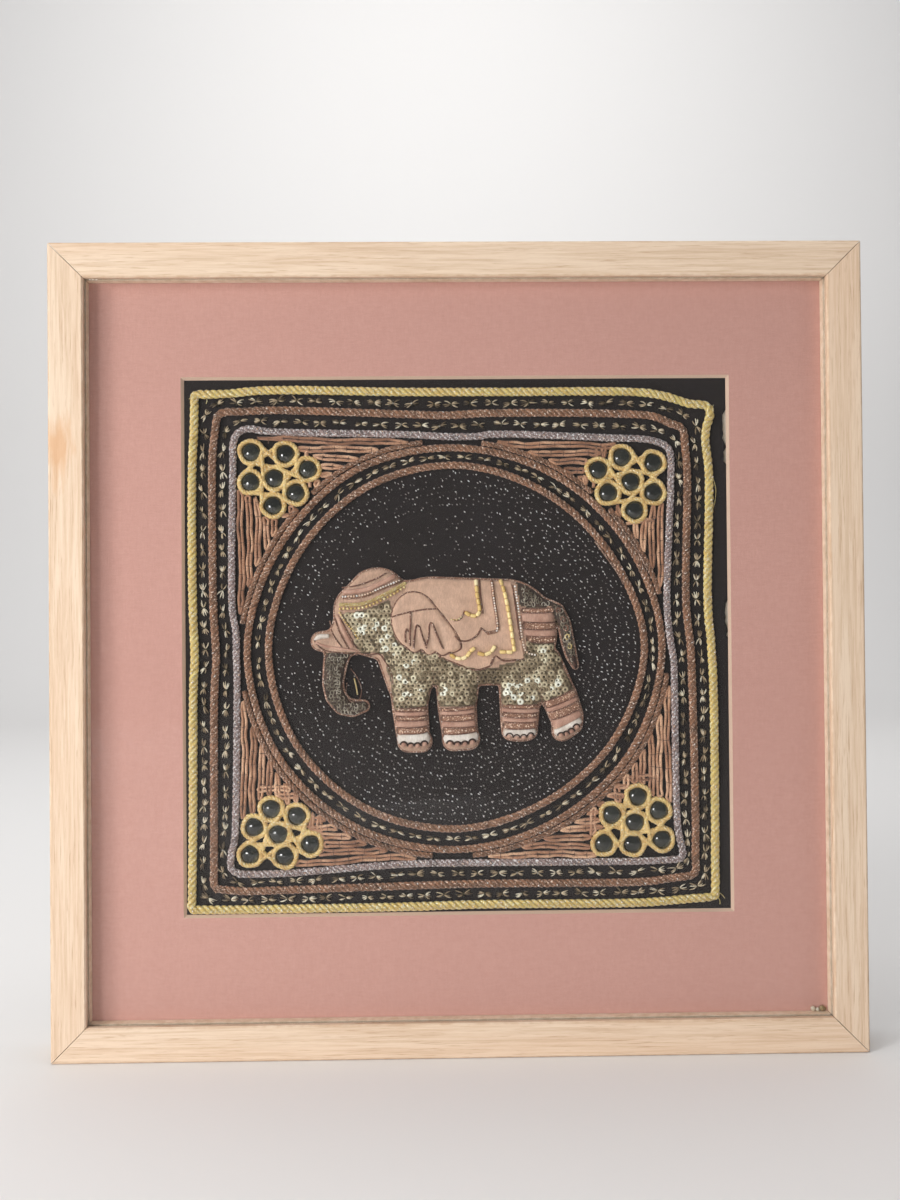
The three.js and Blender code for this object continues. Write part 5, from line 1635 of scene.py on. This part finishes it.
    def tail(self, stocks, rng):
        """A few brown and gold loops down the tail, and its dark tip."""
        for x, z, r in ((55.6, 245.6, 1.3), (58.2, 240.4, 1.5), (59.8, 235.6, 1.5), (60.6, 230.6, 1.4),
                        (61.8, 225.4, 1.3)):
            turn = np.linspace(0, 5.4, 12) + rng.uniform(0, 6)
            arc = np.column_stack([x + 0.8 * r * np.cos(turn), z + r * np.sin(turn)])
            tube(stocks["gold" if rng.random() < 0.4 else "thread"], laid(arc, 0.6), 0.4, 5, chance=rng.random())
        tip = even_line([(63.6, 219.6), (64.6, 215.8), (65.4, 212.8)], 0.5)
        tube(stocks["dark"], laid(tip, 0.4), np.linspace(1.3, 0.5, len(tip)), 7, flatness=0.7)


class TAPESTRY_OT_flecks(bpy.types.Operator):
    """Sew the silver flecks on the ground, and the stray threads"""
    bl_idname = "tapestry.flecks"
    bl_label = "Ground flecks"

    def execute(self, context):
        settings = context.scene.tapestry_elephant
        rng = np.random.default_rng(97)
        stock = Stock()
        inner = even_curve(INNER_ROUTE, 2.0)
        centre = np.array(MEDALLION_CENTRE)
        count, first, pitch, across, edge_band = 0, 4.6, 3.6, 104, 24
        for ring in range(28):
            away = first + pitch * ring
            reach = 1 - away / across
            if reach <= 0.02:
                break
            line = even_line(centre + (inner - centre) * reach, 2.1, True)
            for x, z in line + rng.normal(0, 0.6, line.shape):
                dense = 0.58 + 0.36 * math.cos(math.atan2(z - centre[1], x - centre[0]) + 0.75)
                if away < edge_band:
                    dense = 0.45 + 0.55 * dense
                if rng.random() > dense or body_depth(x, z) > -1.9 or count >= settings.flecks:
                    continue
                count += 1
                chance = rng.random()**1.5
                long = rng.uniform(0.8, 1.25) * (1 + 0.5 * chance)
                fleck(stock, (x, z, CLOTH_FRONT + 0.38), long, rng.uniform(0.55, 0.85),
                      -0.8 + rng.normal(0, 0.35), chance=chance)
        silver = bead_finish("silver_flecks", 0.36, 0.1, [(0.0, 122, 114, 110), (0.4, 186, 178, 172),
                                                          (0.65, 250, 244, 238), (1.0, 255, 255, 255)])
        piece("ground_flecks", stock, silver)
        self.strays(rng)
        return {"FINISHED"}

    def strays(self, rng):
        """Loose ends: whiskers of the gold cord, brown strands by the medallion, and fallen beads on the mount."""
        gold, brown, beads = Stock(), Stock(), Stock()
        whiskers = [
            [(-141, 368), (-141.4, 369.8), (-140.6, 371)], [(-147.6, 366), (-149.4, 366.2), (-150.4, 365.6)],
            [(-140.6, 366), (-140.2, 364.6), (-140.8, 363)],
            [(143.6, 322), (145.7, 314), (145.3, 306.6), (143.8, 301)], [(143, 87), (146.4, 85.2), (148.6, 82.6)],
            [(142.8, 85), (145.4, 82), (145.8, 79.4)], [(141, 357), (144, 358.6), (145, 361)],
        ]
        for points in whiskers:
            line = open_curve(points, 6)
            arch = 0.5 * np.sin(np.linspace(0, 3, len(line)))
            tube(gold, lifted(line, CLOTH_FRONT + 0.5 + arch), 0.2, 5, chance=rng.random())
        for points in ([(84, 299), (92, 287.5), (99.7, 276), (105, 267)],
                       [(86.4, 299.6), (94.6, 287.6), (102, 276.6), (106.4, 268)],
                       [(77, 284), (88.5, 268), (93, 260)]):
            line = lifted(even_line(open_curve(points, 8), 0.8), CLOTH_FRONT + 2.2)
            twisted_cord(brown, line, 1.3, 1.2, 3.4, step=0.6, sides=4, closed=False, seed=int(rng.integers(99)))
        mount_face, rail_lip = 4.9, 12.4
        for x, z, size in ((196.8, 21.2, 1.5), (199.4, 20.6, 1.2), (201.8, 21.4, 1.6), (203.4, 20.8, 1.0)):
            ball(beads, (x, z, mount_face + size * 0.7), size, 5, 8, 0.8, rng.random())
        for x, z in ((-202.2, 430.1), (-198.6, 430), (-200.6, 430.2)):
            fleck(beads, (x, z, rail_lip), 1.5, 0.7, rng.uniform(-0.3, 0.3), chance=1.0)
        thread = thread_finish("whisker_gold", srgb(186, 160, 80), srgb(240, 220, 146), 0.5, 0.25,
                               srgb(255, 246, 210))
        piece("gold_whiskers", gold, thread)
        thread = thread_finish("stray_brown", srgb(96, 70, 56), srgb(150, 112, 90), 0.6, 0.1, srgb(255, 226, 204))
        piece("brown_strays", brown, thread)
        fallen = bead_finish("fallen_beads", 0.4, 0.2, [(0.0, 128, 104, 66), (0.6, 186, 168, 128),
                                                        (1.0, 246, 240, 230)], 700)
        piece("fallen_beads", beads, fallen)


# ---------------------------------------------------------------- stage

# Each lamp's name, place, aim, width in metres and power in watts, and whether it shows in glass and metal.
LAMPS = [
    ("window", (-1.5, -1.0, 0.72), (0, 0, 0.12), 0.6, 22, False),
    ("glint", (-0.98, -1.35, 0.16), (0, 0, 0.2), 0.44, 11, True),
    ("low", (-0.15, -0.7, 0.03), (0, 0, 0.06), 0.4, 1.7, False),
    ("fill", (1.75, -1.3, 0.2), (0, 0, 0.1), 0.9, 5, False),
    ("wash", (0, 0.35, 2.3), (0, 2.6, 0.7), 2.2, 46, False),
]


class TAPESTRY_OT_stage(bpy.types.Operator):
    """Set up the floor, the lights and the camera"""
    bl_idname = "tapestry.stage"
    bl_label = "Stage"

    def execute(self, context):
        settings = context.scene.tapestry_stage
        floor = sweep_floor()
        world = bpy.data.worlds.new("soft_studio")
        context.scene.world = world
        world.use_nodes = True
        back = world.node_tree.nodes["Background"]
        back.inputs["Color"].default_value = (0.93, 0.95, 1.0, 1)
        back.inputs["Strength"].default_value = 0.26
        for settled in LAMPS:
            lamp(*settled)
        camera = bpy.data.cameras.new("view")
        camera.sensor_width = 36
        camera.lens = settings.lens
        holder = bpy.data.objects.new("view", camera)
        context.scene.collection.objects.link(holder)
        pan, pitch, roll = (math.radians(a) for a in settings.camera_turn)
        turn = (Matrix.Rotation(pan, 3, "Z") @ Matrix.Rotation(pitch, 3, "X") @ Matrix.Rotation(roll, 3, "Y")
                @ Matrix.Rotation(math.pi / 2, 3, "X"))
        holder.matrix_world = Matrix.Translation(settings.camera_place) @ turn.to_4x4()
        context.scene.camera = holder
        context.scene.view_settings.view_transform = "Standard"
        return {"FINISHED"}


def sweep_floor():
    """A plain pale floor that curves up a long way behind."""
    width, near, far, radius = 4.0, -2.5, 1.6, 0.8
    profile = [(near, 0.0), (far, 0.0)]
    profile += [(far + radius * math.sin(a), radius - radius * math.cos(a)) for a in np.linspace(0.2, math.pi / 2, 8)]
    profile.append((far + radius, 3.0))
    points = [(x, y, z) for y, z in profile for x in (-width, width)]
    faces = [(2 * k, 2 * k + 1, 2 * k + 3, 2 * k + 2) for k in range(len(profile) - 1)]
    mesh = bpy.data.meshes.new("pale_floor")
    mesh.from_pydata(points, [], faces)
    mesh.polygons.foreach_set("use_smooth", [True] * len(faces))
    floor = bpy.data.objects.new("pale_floor", mesh)
    bpy.context.scene.collection.objects.link(floor)
    paint = Finish("pale_floor", 0.85)
    paint.shader.inputs["Base Color"].default_value = (*srgb(226, 224, 222), 1)
    mesh.materials.append(paint.material)
    return floor


def lamp(name, place_at, aim, size, power, mirrored):
    """A round soft lamp. Only a mirrored one shows in glass and metal."""
    light = bpy.data.lights.new(name, "AREA")
    light.shape = "DISK"
    light.size = size
    light.energy = power
    holder = bpy.data.objects.new(name, light)
    bpy.context.scene.collection.objects.link(holder)
    holder.visible_camera = False
    holder.visible_glossy = mirrored
    holder.location = place_at
    holder.rotation_euler = (Vector(aim) - Vector(place_at)).to_track_quat("-Z", "Y").to_euler()


# ---------------------------------------------------------------- add-on

STEPS = ("frame", "cords", "eyes", "rosettes", "yarn", "elephant", "sequins", "beadwork", "flecks", "stage")
GROUPS = (("tapestry_frame", FrameSettings), ("tapestry_cords", CordSettings),
          ("tapestry_rosettes", RosetteSettings), ("tapestry_elephant", ElephantSettings),
          ("tapestry_stage", StageSettings))


class TAPESTRY_PT_panel(bpy.types.Panel):
    """The tapestry's steps and settings"""
    bl_idname = "TAPESTRY_PT_panel"
    bl_label = "Tapestry"
    bl_space_type = "VIEW_3D"
    bl_region_type = "UI"
    bl_category = "Tapestry"

    def draw(self, context):
        for step in STEPS:
            self.layout.operator(f"tapestry.{step}")
        for group, kind in GROUPS:
            box = self.layout.box()
            for label in kind.__annotations__:
                box.prop(getattr(context.scene, group), label)


CLASSES = (*(kind for _, kind in GROUPS), TAPESTRY_OT_frame, TAPESTRY_OT_cords, TAPESTRY_OT_eyes,
           TAPESTRY_OT_rosettes, TAPESTRY_OT_yarn, TAPESTRY_OT_elephant, TAPESTRY_OT_sequins, TAPESTRY_OT_beadwork,
           TAPESTRY_OT_flecks, TAPESTRY_OT_stage, TAPESTRY_PT_panel)


def register():
    for kind in CLASSES:
        bpy.utils.register_class(kind)
    for group, kind in GROUPS:
        setattr(bpy.types.Scene, group, PointerProperty(type=kind))


def unregister():
    for group, _ in GROUPS:
        delattr(bpy.types.Scene, group)
    for kind in reversed(CLASSES):
        bpy.utils.unregister_class(kind)


def main():
    register()
    for step in STEPS:
        getattr(bpy.ops.tapestry, step)()


if __name__ == "__main__":
    main()
